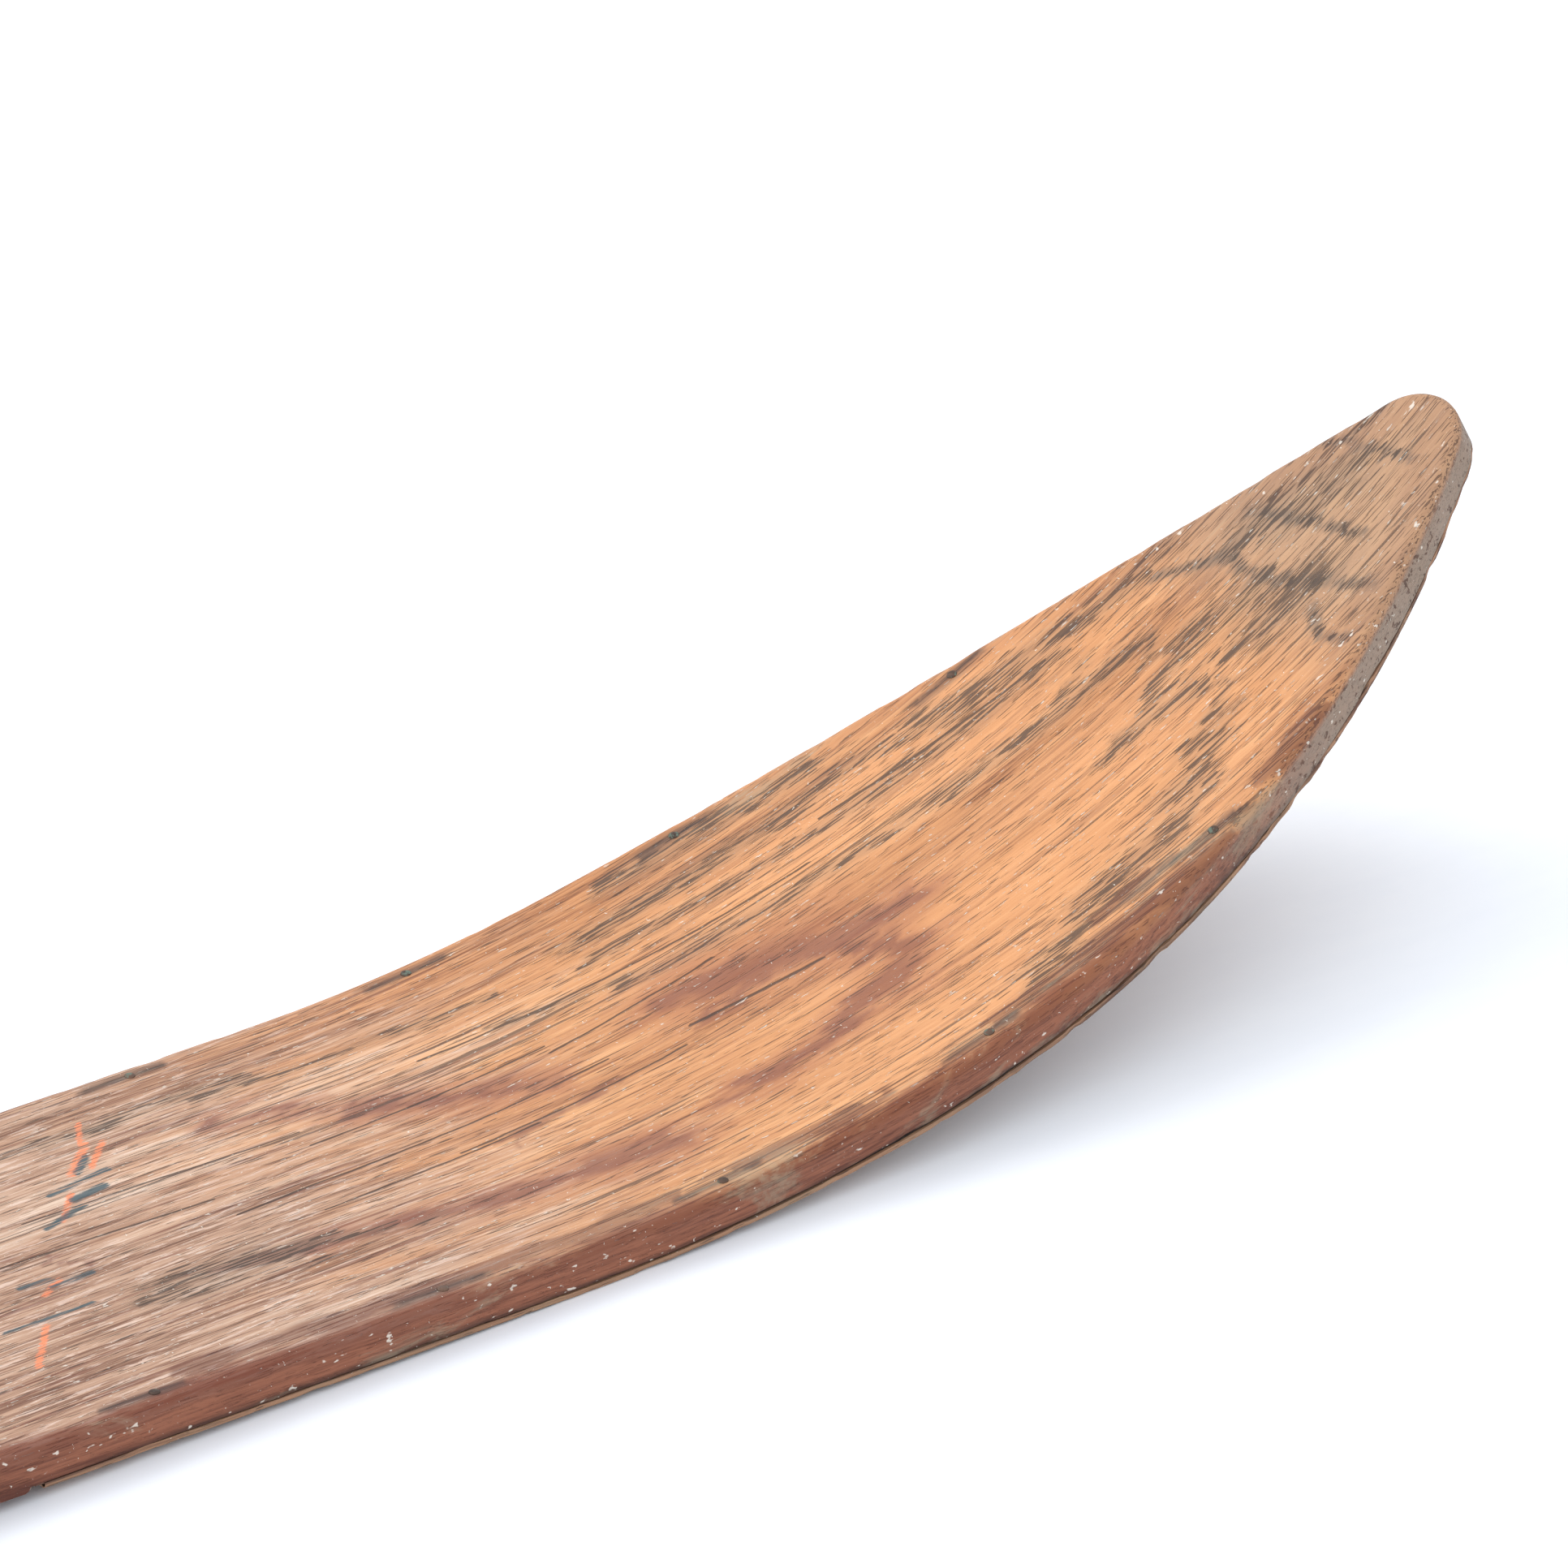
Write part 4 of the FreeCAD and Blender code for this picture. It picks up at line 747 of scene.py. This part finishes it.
# growth rings that come to the surface: grey bands full of pores
bands = painted(tree, "pore_band")
rings = marks(tree, shaken(tree, place, 16, 7, 70), RING_LINES, 0.95)
rings = calc(tree, "MULTIPLY", rings, band(tree, hair, 0.30, 0.55))
base = blend(tree, calc(tree, "MULTIPLY", bands, 0.32), base, GREY_BAND)
base = blend(tree, calc(tree, "MULTIPLY", rings, 0.70), base, colour(108, 94, 82))
along_tip = band(tree, flat_x, 0.22, 0.30)
thin_amount = calc(tree, "ADD", 0.50, calc(tree, "MULTIPLY", along_tip, 0.06))
thin = use(tree, pores_group, lean, Length=75.0, Width=2100.0, Amount=thin_amount, Seed=0.0).outputs[0]
amount = calc(tree, "ADD", 0.28, calc(tree, "MULTIPLY", calc(tree, "MAXIMUM", bands, rings), 0.52))
thick = use(tree, pores_group, lean, Length=60.0, Width=1250.0, Amount=amount, Seed=7.0).outputs[0]
streak_amount = calc(tree, "MULTIPLY", band(tree, broad, 0.48, 0.66), 0.62)
long_pores = use(tree, pores_group, lean, Length=13.0, Width=1150.0, Amount=streak_amount, Seed=21.0).outputs[0]
pores = calc(tree, "MAXIMUM", calc(tree, "MULTIPLY", thin, 0.82), calc(tree, "MULTIPLY", thick, 0.95))
pores = calc(tree, "MAXIMUM", pores, calc(tree, "MULTIPLY", long_pores, 0.80))
cracks = marks(tree, shaken(tree, place, 8, 1.6, 40), CRACKS, 0.5)
pores = calc(tree, "MAXIMUM", pores, cracks)
base = blend(tree, calc(tree, "MULTIPLY", pores, 0.84), base, PORE)

# fine pale fibres that stand up
fibres = use(tree, pores_group, lean, Length=260.0, Width=1300.0, Amount=0.34, Seed=41.0).outputs[0]
base = blend(tree, calc(tree, "MULTIPLY", fibres, 0.60), base, DUST)

# the edge on the right: varnish gone dark and red, with grime
across = calc(tree, "ABSOLUTE", flat_y)
nose_x = calc(tree, "MAXIMUM", calc(tree, "SUBTRACT", flat_x, 0.1), 0.0)
drawn_in = calc(tree, "MULTIPLY", calc(tree, "MULTIPLY", nose_x, nose_x), 0.90)
from_edge = calc(tree, "SUBTRACT", calc(tree, "SUBTRACT", HALF, drawn_in), across)
ragged = calc(tree, "ADD", from_edge, calc(tree, "MULTIPLY", calc(tree, "SUBTRACT", patches, 0.5), 0.024))
right_side = band(tree, flat_y, 0.0, -0.02)
rim_share = calc(tree, "MULTIPLY", right_side, band(tree, flat_x, 0.27, 0.16, 0.72))
rim_share = calc(tree, "ADD", 0.15, rim_share)
base = blend(tree, calc(tree, "MULTIPLY", band(tree, ragged, 0.009, 0.001), rim_share), base, EDGE_BROWN)
worn = frayed(tree, painted(tree, "worn"), 1.8, 0.3, 0.9)
worn = calc(tree, "MULTIPLY", worn, band(tree, painted(tree, "worn"), 0.0, 0.2))
base = blend(tree, calc(tree, "MULTIPLY", worn, 0.55), base, colour(92, 46, 36))
base = blend(tree, calc(tree, "MULTIPLY", painted(tree, "pin_mark"), 0.80), base, colour(52, 44, 44))

# the wall: darker and redder, partly its own colour and partly painted shade, a painted shadow strip above the glue
# gap, and grey end grain full of pits round the nose
low_side = band(tree, flat_z, THICK - 0.0018, THICK - 0.0045)
# the wall is partly its own darker, redder wood and partly darkened further as painted shade
wall_tone_and_shade = blend(tree, band(tree, tone, 0.42, 0.60), colour(92, 50, 38), colour(146, 90, 66))
base = blend(tree, calc(tree, "MULTIPLY", low_side, 0.85), base, wall_tone_and_shade)
# painted shadow: the lowest few millimetres of the wall, from behind the kerf's root to the tip, blended to near
# black as shade in the glue gap
glue_gap_shade = calc(tree, "MULTIPLY", band(tree, flat_z, 0.0045, 0.0022), band(tree, flat_x, -0.20, -0.12))
base = blend(tree, calc(tree, "MULTIPLY", glue_gap_shade, 0.75), base, colour(44, 32, 28))
pits = band(tree, speckle(tree, grained(tree, place, 420, 420, 520), 1.0, 2.0, 0.6), 0.58, 0.66)
end_tone = blend(tree, pits, colour(148, 130, 114), colour(88, 70, 58))
end_grain = calc(tree, "MULTIPLY", band(tree, flat_x, 0.22, 0.30), low_side)
base = blend(tree, calc(tree, "MULTIPLY", end_grain, 0.85), base, end_tone)

# dust, and lichen-grey patches near the edges
dirt = use(tree, dirt_group, place, Scale=1.0, Specks=0.74, Seed=2.0)
base = blend(tree, calc(tree, "MULTIPLY", dirt.outputs["Specks"], 0.80), base, DUST)
chips = band(tree, speckle(tree, grained(tree, place, 240, 420, 420, (6, 6, 6)), 1.0, 2.0, 0.6), 0.67, 0.73)
chips = calc(tree, "MULTIPLY", chips, band(tree, from_edge, 0.004, 0.001))
base = blend(tree, calc(tree, "MULTIPLY", chips, 0.70), base, DUST)
grey_patch = calc(tree, "MULTIPLY", band(tree, from_edge, 0.016, 0.002), band(tree, patches, 0.56, 0.66))
base = blend(tree, calc(tree, "MULTIPLY", grey_patch, 0.45), base, colour(150, 140, 118))
print("board finish:", len(tree.nodes), "nodes")

# %% [markdown]
# What is left of a printed band crosses the deck: slanting orange strokes with dark blue
# dashes between them. It carries no letters, only the worn stripes.

# %% Worn print, roughness and bump
ORANGE_STROKES = [
    ((-66, 60), (-72, 50), 0.8), ((-71, 49), (-84, 37), 1.2), ((-66, 48), (-77, 37), 0.8),
    ((-90, 28), (-100, 17), 0.9), ((-119, -9), (-127, -14), 0.9), ((-136, -28), (-150, -45), 0.9),
]
BLUE_DASHES = [
    ((-75, 43), (-82, 37), 1.3), ((-74, 34), (-95, 31), 1.2), ((-80, 27), (-91, 25), 1.6),
    ((-91, 21), (-106, 16), 1.2), ((-121, -8), (-130, -7), 1.3), ((-110, -11), (-123, -12), 1.3),
    ((-119, -25), (-147, -25), 0.9),
]
print_place = shaken(tree, place, 5, 2.4, 220)
scraped = band(tree, hair, 0.38, 0.50)
orange = calc(tree, "MULTIPLY", marks(tree, print_place, ORANGE_STROKES, 0.4), scraped)
blue = calc(tree, "MULTIPLY", marks(tree, print_place, BLUE_DASHES, 0.4), scraped)
base = blend(tree, calc(tree, "MULTIPLY", orange, 0.90), base, colour(236, 134, 92))
base = blend(tree, calc(tree, "MULTIPLY", blue, 0.92), base, colour(62, 82, 88))

varnish = calc(tree, "MULTIPLY", calc(tree, "SUBTRACT", 1.0, tailward, clamp=True), band(tree, patches, 0.30, 0.60))
rough = calc(tree, "SUBTRACT", 0.72, calc(tree, "MULTIPLY", varnish, 0.24))
height = calc(tree, "SUBTRACT", calc(tree, "MULTIPLY", hair, 0.45), pores)
height = calc(tree, "ADD", height, calc(tree, "MULTIPLY", middle, 0.6))
height = calc(tree, "ADD", height, calc(tree, "MULTIPLY", fibres, 0.5))
finish_with(tree, shader, height, 0.75, 0.5 * MM, Base_Color=base, Roughness=rough)
shader.inputs["Specular IOR Level"].default_value = 0.30
board.data.materials.clear()
board.data.materials.append(wood)
print("board finish:", len(tree.nodes), "nodes in all")

# %% [markdown]
# ## Sole layer and glue
#
# The layer under the kerf was never varnished on its edge: greyer, with the same streaks.
# The glue is dark, hard and cracked, and sits back in the gap, where it looks black.

# %% Sole layer
sole_wood, tree, shader = new_material("greyed_layer")
place = add(tree, "ShaderNodeAttribute", attribute_name="grain").outputs["Vector"]
streak = speckle(tree, grained(tree, place, 8, 260, 700), 1.0, 5.0, 0.6, 0.3)
fine = speckle(tree, grained(tree, place, 30, 1300, 1300, (2, 2, 2)), 1.0, 3.0, 0.6)
base = blend(tree, band(tree, streak, 0.36, 0.64), colour(94, 62, 46), colour(164, 122, 92))
pores = use(tree, pores_group, place, Length=80.0, Width=1500.0, Amount=0.5, Seed=4.0).outputs[0]
base = blend(tree, calc(tree, "MULTIPLY", pores, 0.7), base, PORE)
dirt = use(tree, dirt_group, place, Scale=1.0, Specks=0.6, Seed=5.0)
base = blend(tree, calc(tree, "MULTIPLY", dirt.outputs["Specks"], 0.8), base, DUST)
base = blend(tree, calc(tree, "MULTIPLY", dirt.outputs["Film"], 0.35), base, colour(134, 124, 100))
finish_with(tree, shader, calc(tree, "SUBTRACT", fine, pores), 0.5, 0.3 * MM, Base_Color=base)
shader.inputs["Roughness"].default_value = 0.75
sole_layer.data.materials.clear()
sole_layer.data.materials.append(sole_wood)

# %% Glue
glue, tree, shader = new_material("kerf_glue")
place = add(tree, "ShaderNodeTexCoord").outputs["Object"]
crumbs = speckle(tree, place, 700.0, 4.0, 0.6, 0.4)
base = blend(tree, band(tree, crumbs, 0.35, 0.65), colour(22, 18, 15), colour(54, 42, 32))
finish_with(tree, shader, crumbs, 0.6, 0.2 * MM, Base_Color=base)
shader.inputs["Roughness"].default_value = 0.6
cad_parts["kerf_glue"].data.materials.clear()
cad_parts["kerf_glue"].data.materials.append(glue)

# %% [markdown]
# ## Metals and rubber
#
# Old metal is told by what has happened to it. Aluminium goes dull and grey with fine
# scratches along its length; plated steel keeps its shine with rust creeping in from the
# edges; brass and copper go brown, with green where water stood. Rubber goes grey with
# bloom, and cracks where it bends.

# %% Metal finishes
def metal(name, clean, dull, stain, stain_from, scratch, roughness):
    """A worn metal: clean and dull tones, stains in patches, and scratches along X."""
    material, tree, shader = new_material(name)
    place = add(tree, "ShaderNodeTexCoord").outputs["Object"]
    cloud = speckle(tree, place, 90.0, 5.0, 0.65, 0.6)
    lines = speckle(tree, grained(tree, place, 60, scratch, scratch), 1.0, 3.0, 0.7)
    base = blend(tree, band(tree, cloud, 0.34, 0.66), clean, dull)
    patch = band(tree, speckle(tree, place, 240.0, 6.0, 0.7, 1.2), stain_from, stain_from + 0.07)
    base = blend(tree, calc(tree, "MULTIPLY", patch, 0.85), base, stain)
    dirt = use(tree, dirt_group, place, Scale=2.0, Specks=0.4, Seed=3.0)
    base = blend(tree, calc(tree, "MULTIPLY", dirt.outputs["Film"], 0.35), base, colour(92, 82, 70))
    metallic = calc(tree, "SUBTRACT", 1.0, calc(tree, "MULTIPLY", patch, 0.9), clamp=True)
    rough = calc(tree, "ADD", roughness, calc(tree, "MULTIPLY", cloud, 0.25))
    rough = calc(tree, "ADD", rough, calc(tree, "MULTIPLY", patch, 0.3), clamp=True)
    finish_with(tree, shader, calc(tree, "ADD", lines, patch), 0.25, 0.1 * MM, Base_Color=base,
                Roughness=rough, Metallic=metallic)
    return material


aluminium = metal("dull_aluminium", colour(196, 198, 200), colour(150, 152, 154), colour(120, 118, 112),
                  0.66, 2400, 0.30)
steel = metal("plated_steel", colour(188, 186, 180), colour(140, 136, 130), colour(116, 70, 44), 0.58, 1800, 0.22)
brass = metal("brown_brass", colour(182, 148, 84), colour(122, 92, 54), colour(92, 104, 82), 0.62, 1800, 0.30)
copper = metal("brown_copper", colour(118, 92, 78), colour(74, 62, 56), colour(98, 112, 98), 0.52, 1500, 0.40)


def rubber(name, dark, bloom, crack):
    """An old moulded rubber: bloom in clouds, fine crazing, and dust."""
    material, tree, shader = new_material(name)
    place = add(tree, "ShaderNodeTexCoord").outputs["Object"]
    cloud = speckle(tree, place, 40.0, 6.0, 0.65, 0.5)
    grain_noise = speckle(tree, place, 1400.0, 3.0, 0.6)
    cells = add(tree, "ShaderNodeTexVoronoi", {"Vector": grained(tree, place, 190, 420, 420), "Scale": 1.0},
                feature="DISTANCE_TO_EDGE").outputs["Distance"]
    crazing = calc(tree, "MULTIPLY", band(tree, cells, 0.05, 0.01), band(tree, cloud, 0.46, 0.60))
    base = blend(tree, band(tree, cloud, 0.38, 0.70), dark, bloom)
    base = blend(tree, calc(tree, "MULTIPLY", crazing, crack), base, colour(14, 14, 14))
    dirt = use(tree, dirt_group, place, Scale=1.5, Specks=0.6, Seed=9.0)
    base = blend(tree, calc(tree, "MULTIPLY", dirt.outputs["Film"], 0.30), base, colour(126, 116, 102))
    base = blend(tree, calc(tree, "MULTIPLY", dirt.outputs["Specks"], 0.70), base, DUST)
    rough = calc(tree, "ADD", 0.50, calc(tree, "MULTIPLY", cloud, 0.35))
    height = calc(tree, "SUBTRACT", calc(tree, "MULTIPLY", grain_noise, 0.4), crazing)
    finish_with(tree, shader, height, 0.4, 0.25 * MM, Base_Color=base, Roughness=rough)
    return material


binding_rubber = rubber("old_red_rubber", colour(94, 33, 27), colour(124, 66, 54), 0.8)
mat_rubber = rubber("old_black_rubber", colour(38, 37, 36), colour(84, 80, 76), 0.6)

# %% [markdown]
# ## The binding's own pieces
#
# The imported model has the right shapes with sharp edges. `softened` copies a node, merges
# its loose triangles, melts the flat ones together and rounds every sharp edge, as pressing,
# moulding and wear do.

# %% Softened copies
def softened(node, name, body, material, width, segments=2, angle=40):
    """A copy of a node with rounded edges and its finish, standing in for the node."""
    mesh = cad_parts[node].data.copy()
    mesh.name = name
    piece = bpy.data.objects.new(name, mesh)
    bpy.context.scene.collection.objects.link(piece)
    tidy(piece, 0.000002)
    only(piece)
    bpy.ops.object.mode_set(mode="EDIT")
    bpy.ops.mesh.select_all(action="SELECT")
    bpy.ops.mesh.dissolve_limited(angle_limit=math.radians(0.5))
    bpy.ops.object.mode_set(mode="OBJECT")
    apply_modifier(piece, "BEVEL", width=width, segments=segments, limit_method="ANGLE",
                   angle_limit=math.radians(angle), use_clamp_overlap=True)
    only(piece)
    bpy.ops.object.shade_smooth_by_angle(angle=math.radians(35))
    mesh.materials.clear()
    mesh.materials.append(material)
    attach(piece, body)
    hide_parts(node)
    return piece


PIECES = [
    ("foot_mat", "ribbed_mat", "ski", "mat_rubber", mat_rubber, 0.5),
    ("toe_rubber", "toe_arch", "ski", "binding_rubber", binding_rubber, 0.9),
    ("toe_clamp_left", "toe_strip_left", "ski", "aluminium", aluminium, 0.6),
    ("toe_clamp_right", "toe_strip_right", "ski", "aluminium", aluminium, 0.6),
    ("rail_left", "slotted_rail_left", "ski", "aluminium", aluminium, 0.4),
    ("rail_right", "slotted_rail_right", "ski", "aluminium", aluminium, 0.4),
    ("heel_plate", "heel_carriage", "heel_slide", "aluminium", aluminium, 0.4),
    ("clamp_bolts", "carriage_bolts", "heel_slide", "steel", steel, 0.4),
    ("washers", "flat_washers", "heel_slide", "steel", steel, 0.25),
    ("wing_nut_left", "wing_nut_l", "wing_nut_left_body", "steel", steel, 0.5),
    ("wing_nut_right", "wing_nut_r", "wing_nut_right_body", "steel", steel, 0.5),
    ("heel_rubber", "heel_cup", "heel_slide", "binding_rubber", binding_rubber, 0.9),
    ("heel_ring", "heel_horseshoe", "heel_slide", "aluminium", aluminium, 0.4),
    ("heel_pad", "heel_sole_pad", "heel_slide", "mat_rubber", mat_rubber, 0.5),
]
for node, name, body, slot, material, radius in PIECES:
    made = softened(node, name, body, material, radius * MM)
    print(f"{name}: {len(made.data.polygons)} faces")

# %% Fin
fin = softened("keel", "ski_fin", "ski", wood, 0.8 * MM)
grain = fin.data.attributes.new("grain", "FLOAT_VECTOR", "POINT")
for vertex in fin.data.vertices:
    grain.data[vertex.index].vector = (vertex.co.x, vertex.co.y, THICK)

# %% [markdown]
# ## Fasteners
#
# One screw is made with care: a cylinder whose rim is rounded into a dome, with a slot cut
# across it. It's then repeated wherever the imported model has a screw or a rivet.

# %% One fastener, and rows of them
def one_fastener(head, height, shank, length, slot_width):
    """A round-headed fastener whose head sits on z = 0."""
    bpy.ops.mesh.primitive_cylinder_add(vertices=32, radius=head, depth=height, location=(0, 0, height / 2))
    piece = bpy.context.object
    bpy.ops.object.transform_apply(location=True, rotation=True, scale=True)
    edit_edges(piece, lambda p: abs(p.z - height) < 0.01 * MM)
    bpy.ops.mesh.bevel(offset=height * 0.92, segments=5, profile=0.55, affect="EDGES", clamp_overlap=True)
    bpy.ops.object.mode_set(mode="OBJECT")
    if slot_width:
        bpy.ops.mesh.primitive_cube_add(size=1, location=(0, 0, height))
        cutter = bpy.context.object
        cutter.scale = (3 * head, slot_width, height)
        bpy.ops.object.transform_apply(location=True, rotation=True, scale=True)
        apply_modifier(piece, "BOOLEAN", object=cutter, operation="DIFFERENCE", solver="EXACT")
        bpy.data.objects.remove(cutter)
    bpy.ops.mesh.primitive_cylinder_add(vertices=16, radius=shank, depth=length, location=(0, 0, -length / 2))
    stem = bpy.context.object
    bpy.ops.object.transform_apply(location=True, rotation=True, scale=True)
    only(stem)
    piece.select_set(True)
    bpy.context.view_layer.objects.active = piece
    bpy.ops.object.join()
    return piece


def fastener_row(node, name, body, material, sizes, turned):
    """Fasteners on every head of a node, each turned by its own angle."""
    head, height, shank, slot_width = (value * MM for value in sizes)
    made = []
    for low, high in loose_boxes(node):
        seat = high.z - height
        piece = one_fastener(head, height, shank, seat - low.z, slot_width)
        turn = Matrix.Rotation(turned.uniform(0, math.pi), 4, "Z")
        piece.data.transform(Matrix.Translation(((low.x + high.x) / 2, (low.y + high.y) / 2, seat)) @ turn)
        made.append(piece)
    only(made[0])
    for piece in made:
        piece.select_set(True)
    if len(made) > 1:
        bpy.ops.object.join()
    row = bpy.context.object
    row.name = row.data.name = name
    bpy.ops.object.shade_smooth_by_angle(angle=math.radians(35))
    row.data.materials.clear()
    row.data.materials.append(material)
    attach(row, body)
    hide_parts(node)
    print(f"{name}: {len(made)} fasteners, {len(row.data.polygons)} faces")


turned = random.Random(4)
SCREW = (4.2, 2.2, 2.1, 0.9)
RIVET = (3.8, 1.6, 2.0, 0)
for side in ("left", "right"):
    fastener_row(f"toe_screws_{side}", f"toe_strip_screws_{side}", "ski", steel, SCREW, turned)
    fastener_row(f"rail_screws_{side}", f"slotted_screws_{side}", "ski", steel, SCREW, turned)
fastener_row("keel_screws", "fin_screws", "ski", brass, SCREW, turned)
fastener_row("heel_rivets", "domed_rivets", "heel_slide", aluminium, RIVET, turned)

# %% [markdown]
# The copper pins stand square to the deck all along the bend, so each one is turned by the
# pitch of the board where it stands. Their flat heads were filed nearly flush.

# %% Copper pins
def pin_row(side):
    """The pins down one edge."""
    made = []
    for along, (low, high) in zip(PINS_ALONG, pin_boxes[side]):
        bpy.ops.mesh.primitive_cylinder_add(vertices=24, radius=1.6 * MM, depth=THICK + 0.3 * MM)
        piece = bpy.context.object
        edit_edges(piece, lambda p: p.z > THICK / 2)
        bpy.ops.mesh.bevel(offset=0.35 * MM, segments=2, profile=0.5, affect="EDGES")
        bpy.ops.object.mode_set(mode="OBJECT")
        pitch = max(0.0, along * MM / DECK_RADIUS)
        middle = Vector(((low.x + high.x) / 2, (low.y + high.y) / 2, (low.z + high.z) / 2))
        piece.data.transform(Matrix.Translation(middle) @ Matrix.Rotation(-pitch, 4, "Y"))
        made.append(piece)
    only(made[0])
    for piece in made:
        piece.select_set(True)
    bpy.ops.object.join()
    row = bpy.context.object
    row.name = row.data.name = f"edge_pins_{side}"
    bpy.ops.object.shade_smooth_by_angle(angle=math.radians(35))
    row.data.materials.clear()
    row.data.materials.append(copper)
    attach(row, "ski")
    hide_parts(f"pins_{side}")
    print(f"edge_pins_{side}: {len(made)} pins")


pin_row("left")
pin_row("right")

# %% [markdown]
# ## Floor, light and camera
#
# The ski stands on the foot of its fin and on the sole where the bend starts, so the floor
# tilts by less than a degree in the ski's own frame. The light is one large soft source from
# behind on the left, and a pale sky that fills the shadows.

# %% Floor
keel_low, keel_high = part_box("keel")
fin_toe = keel_high.x - 95 * MM
floor_tilt = math.atan2(SOLE - keel_low.z, BEND_X - fin_toe)
bpy.ops.mesh.primitive_plane_add(size=14)
floor = bpy.context.object
floor.name = "floor"
pivot = Vector((BEND_X, 0, SOLE - 0.1 * MM))
floor.data.transform(Matrix.Translation(pivot) @ Matrix.Rotation(-floor_tilt, 4, "Y"))
floor_paint, tree, shader = new_material("pale_floor")
place = add(tree, "ShaderNodeTexCoord").outputs["Object"]
brushed = speckle(tree, grained(tree, place, 20, 60, 20), 1.0, 4.0, 0.6)
base = blend(tree, brushed, (0.86, 0.88, 0.92, 1), (0.92, 0.93, 0.95, 1))
finish_with(tree, shader, brushed, 0.05, 0.2 * MM, Base_Color=base)
shader.inputs["Roughness"].default_value = 0.55
floor.data.materials.append(floor_paint)

# %% Light
world = bpy.data.worlds.new("pale_sky")
bpy.context.scene.world = world
world.use_nodes = True
world.node_tree.nodes["Background"].inputs["Color"].default_value = (0.91, 0.95, 1.0, 1)
world.node_tree.nodes["Background"].inputs["Strength"].default_value = 1.3
bpy.context.scene.view_settings.view_transform = "Standard"


def area_light(name, place, target, size, power, tint):
    """A square soft light that looks at a target."""
    data = bpy.data.lights.new(name, "AREA")
    data.shape, data.size, data.energy, data.color = "SQUARE", size, power, tint
    light = bpy.data.objects.new(name, data)
    bpy.context.scene.collection.objects.link(light)
    light.location = place
    light.rotation_euler = (target - place).to_track_quat("-Z", "Y").to_euler()
    return light


aim = Vector((BEND_X + 0.1, 0, 0.05))
area_light("window", aim + Vector((-1.1, 1.3, 1.5)), aim, 1.5, 22, (1.0, 0.985, 0.96))

# %% Camera
camera_data = bpy.data.cameras.new("camera")
camera = bpy.data.objects.new("camera", camera_data)
bpy.context.scene.collection.objects.link(camera)
heading, dip, roll = math.radians(37.24), math.radians(27.21), math.radians(-0.48)
distance, left_of, below = 3.56, 0.1045, 0.1106
away = Vector((math.sin(heading), math.cos(heading), 0))
right = Vector((math.cos(heading), -math.sin(heading), 0))
up = away * math.sin(dip) + Vector((0, 0, math.cos(dip)))
ahead = away * math.cos(dip) - Vector((0, 0, math.sin(dip)))
rolled_right = right * math.cos(roll) - up * math.sin(roll)
rolled_up = right * math.sin(roll) + up * math.cos(roll)
where = Vector((BEND_X, 0, SOLE)) + right * left_of + up * below - ahead * distance
camera.matrix_world = Matrix((
    (rolled_right.x, rolled_up.x, -ahead.x, where.x),
    (rolled_right.y, rolled_up.y, -ahead.y, where.y),
    (rolled_right.z, rolled_up.z, -ahead.z, where.z),
    (0, 0, 0, 1)))
camera_data.lens = 297.4
camera_data.clip_end = 50
bpy.context.scene.camera = camera
print("camera at", [round(value, 3) for value in where])
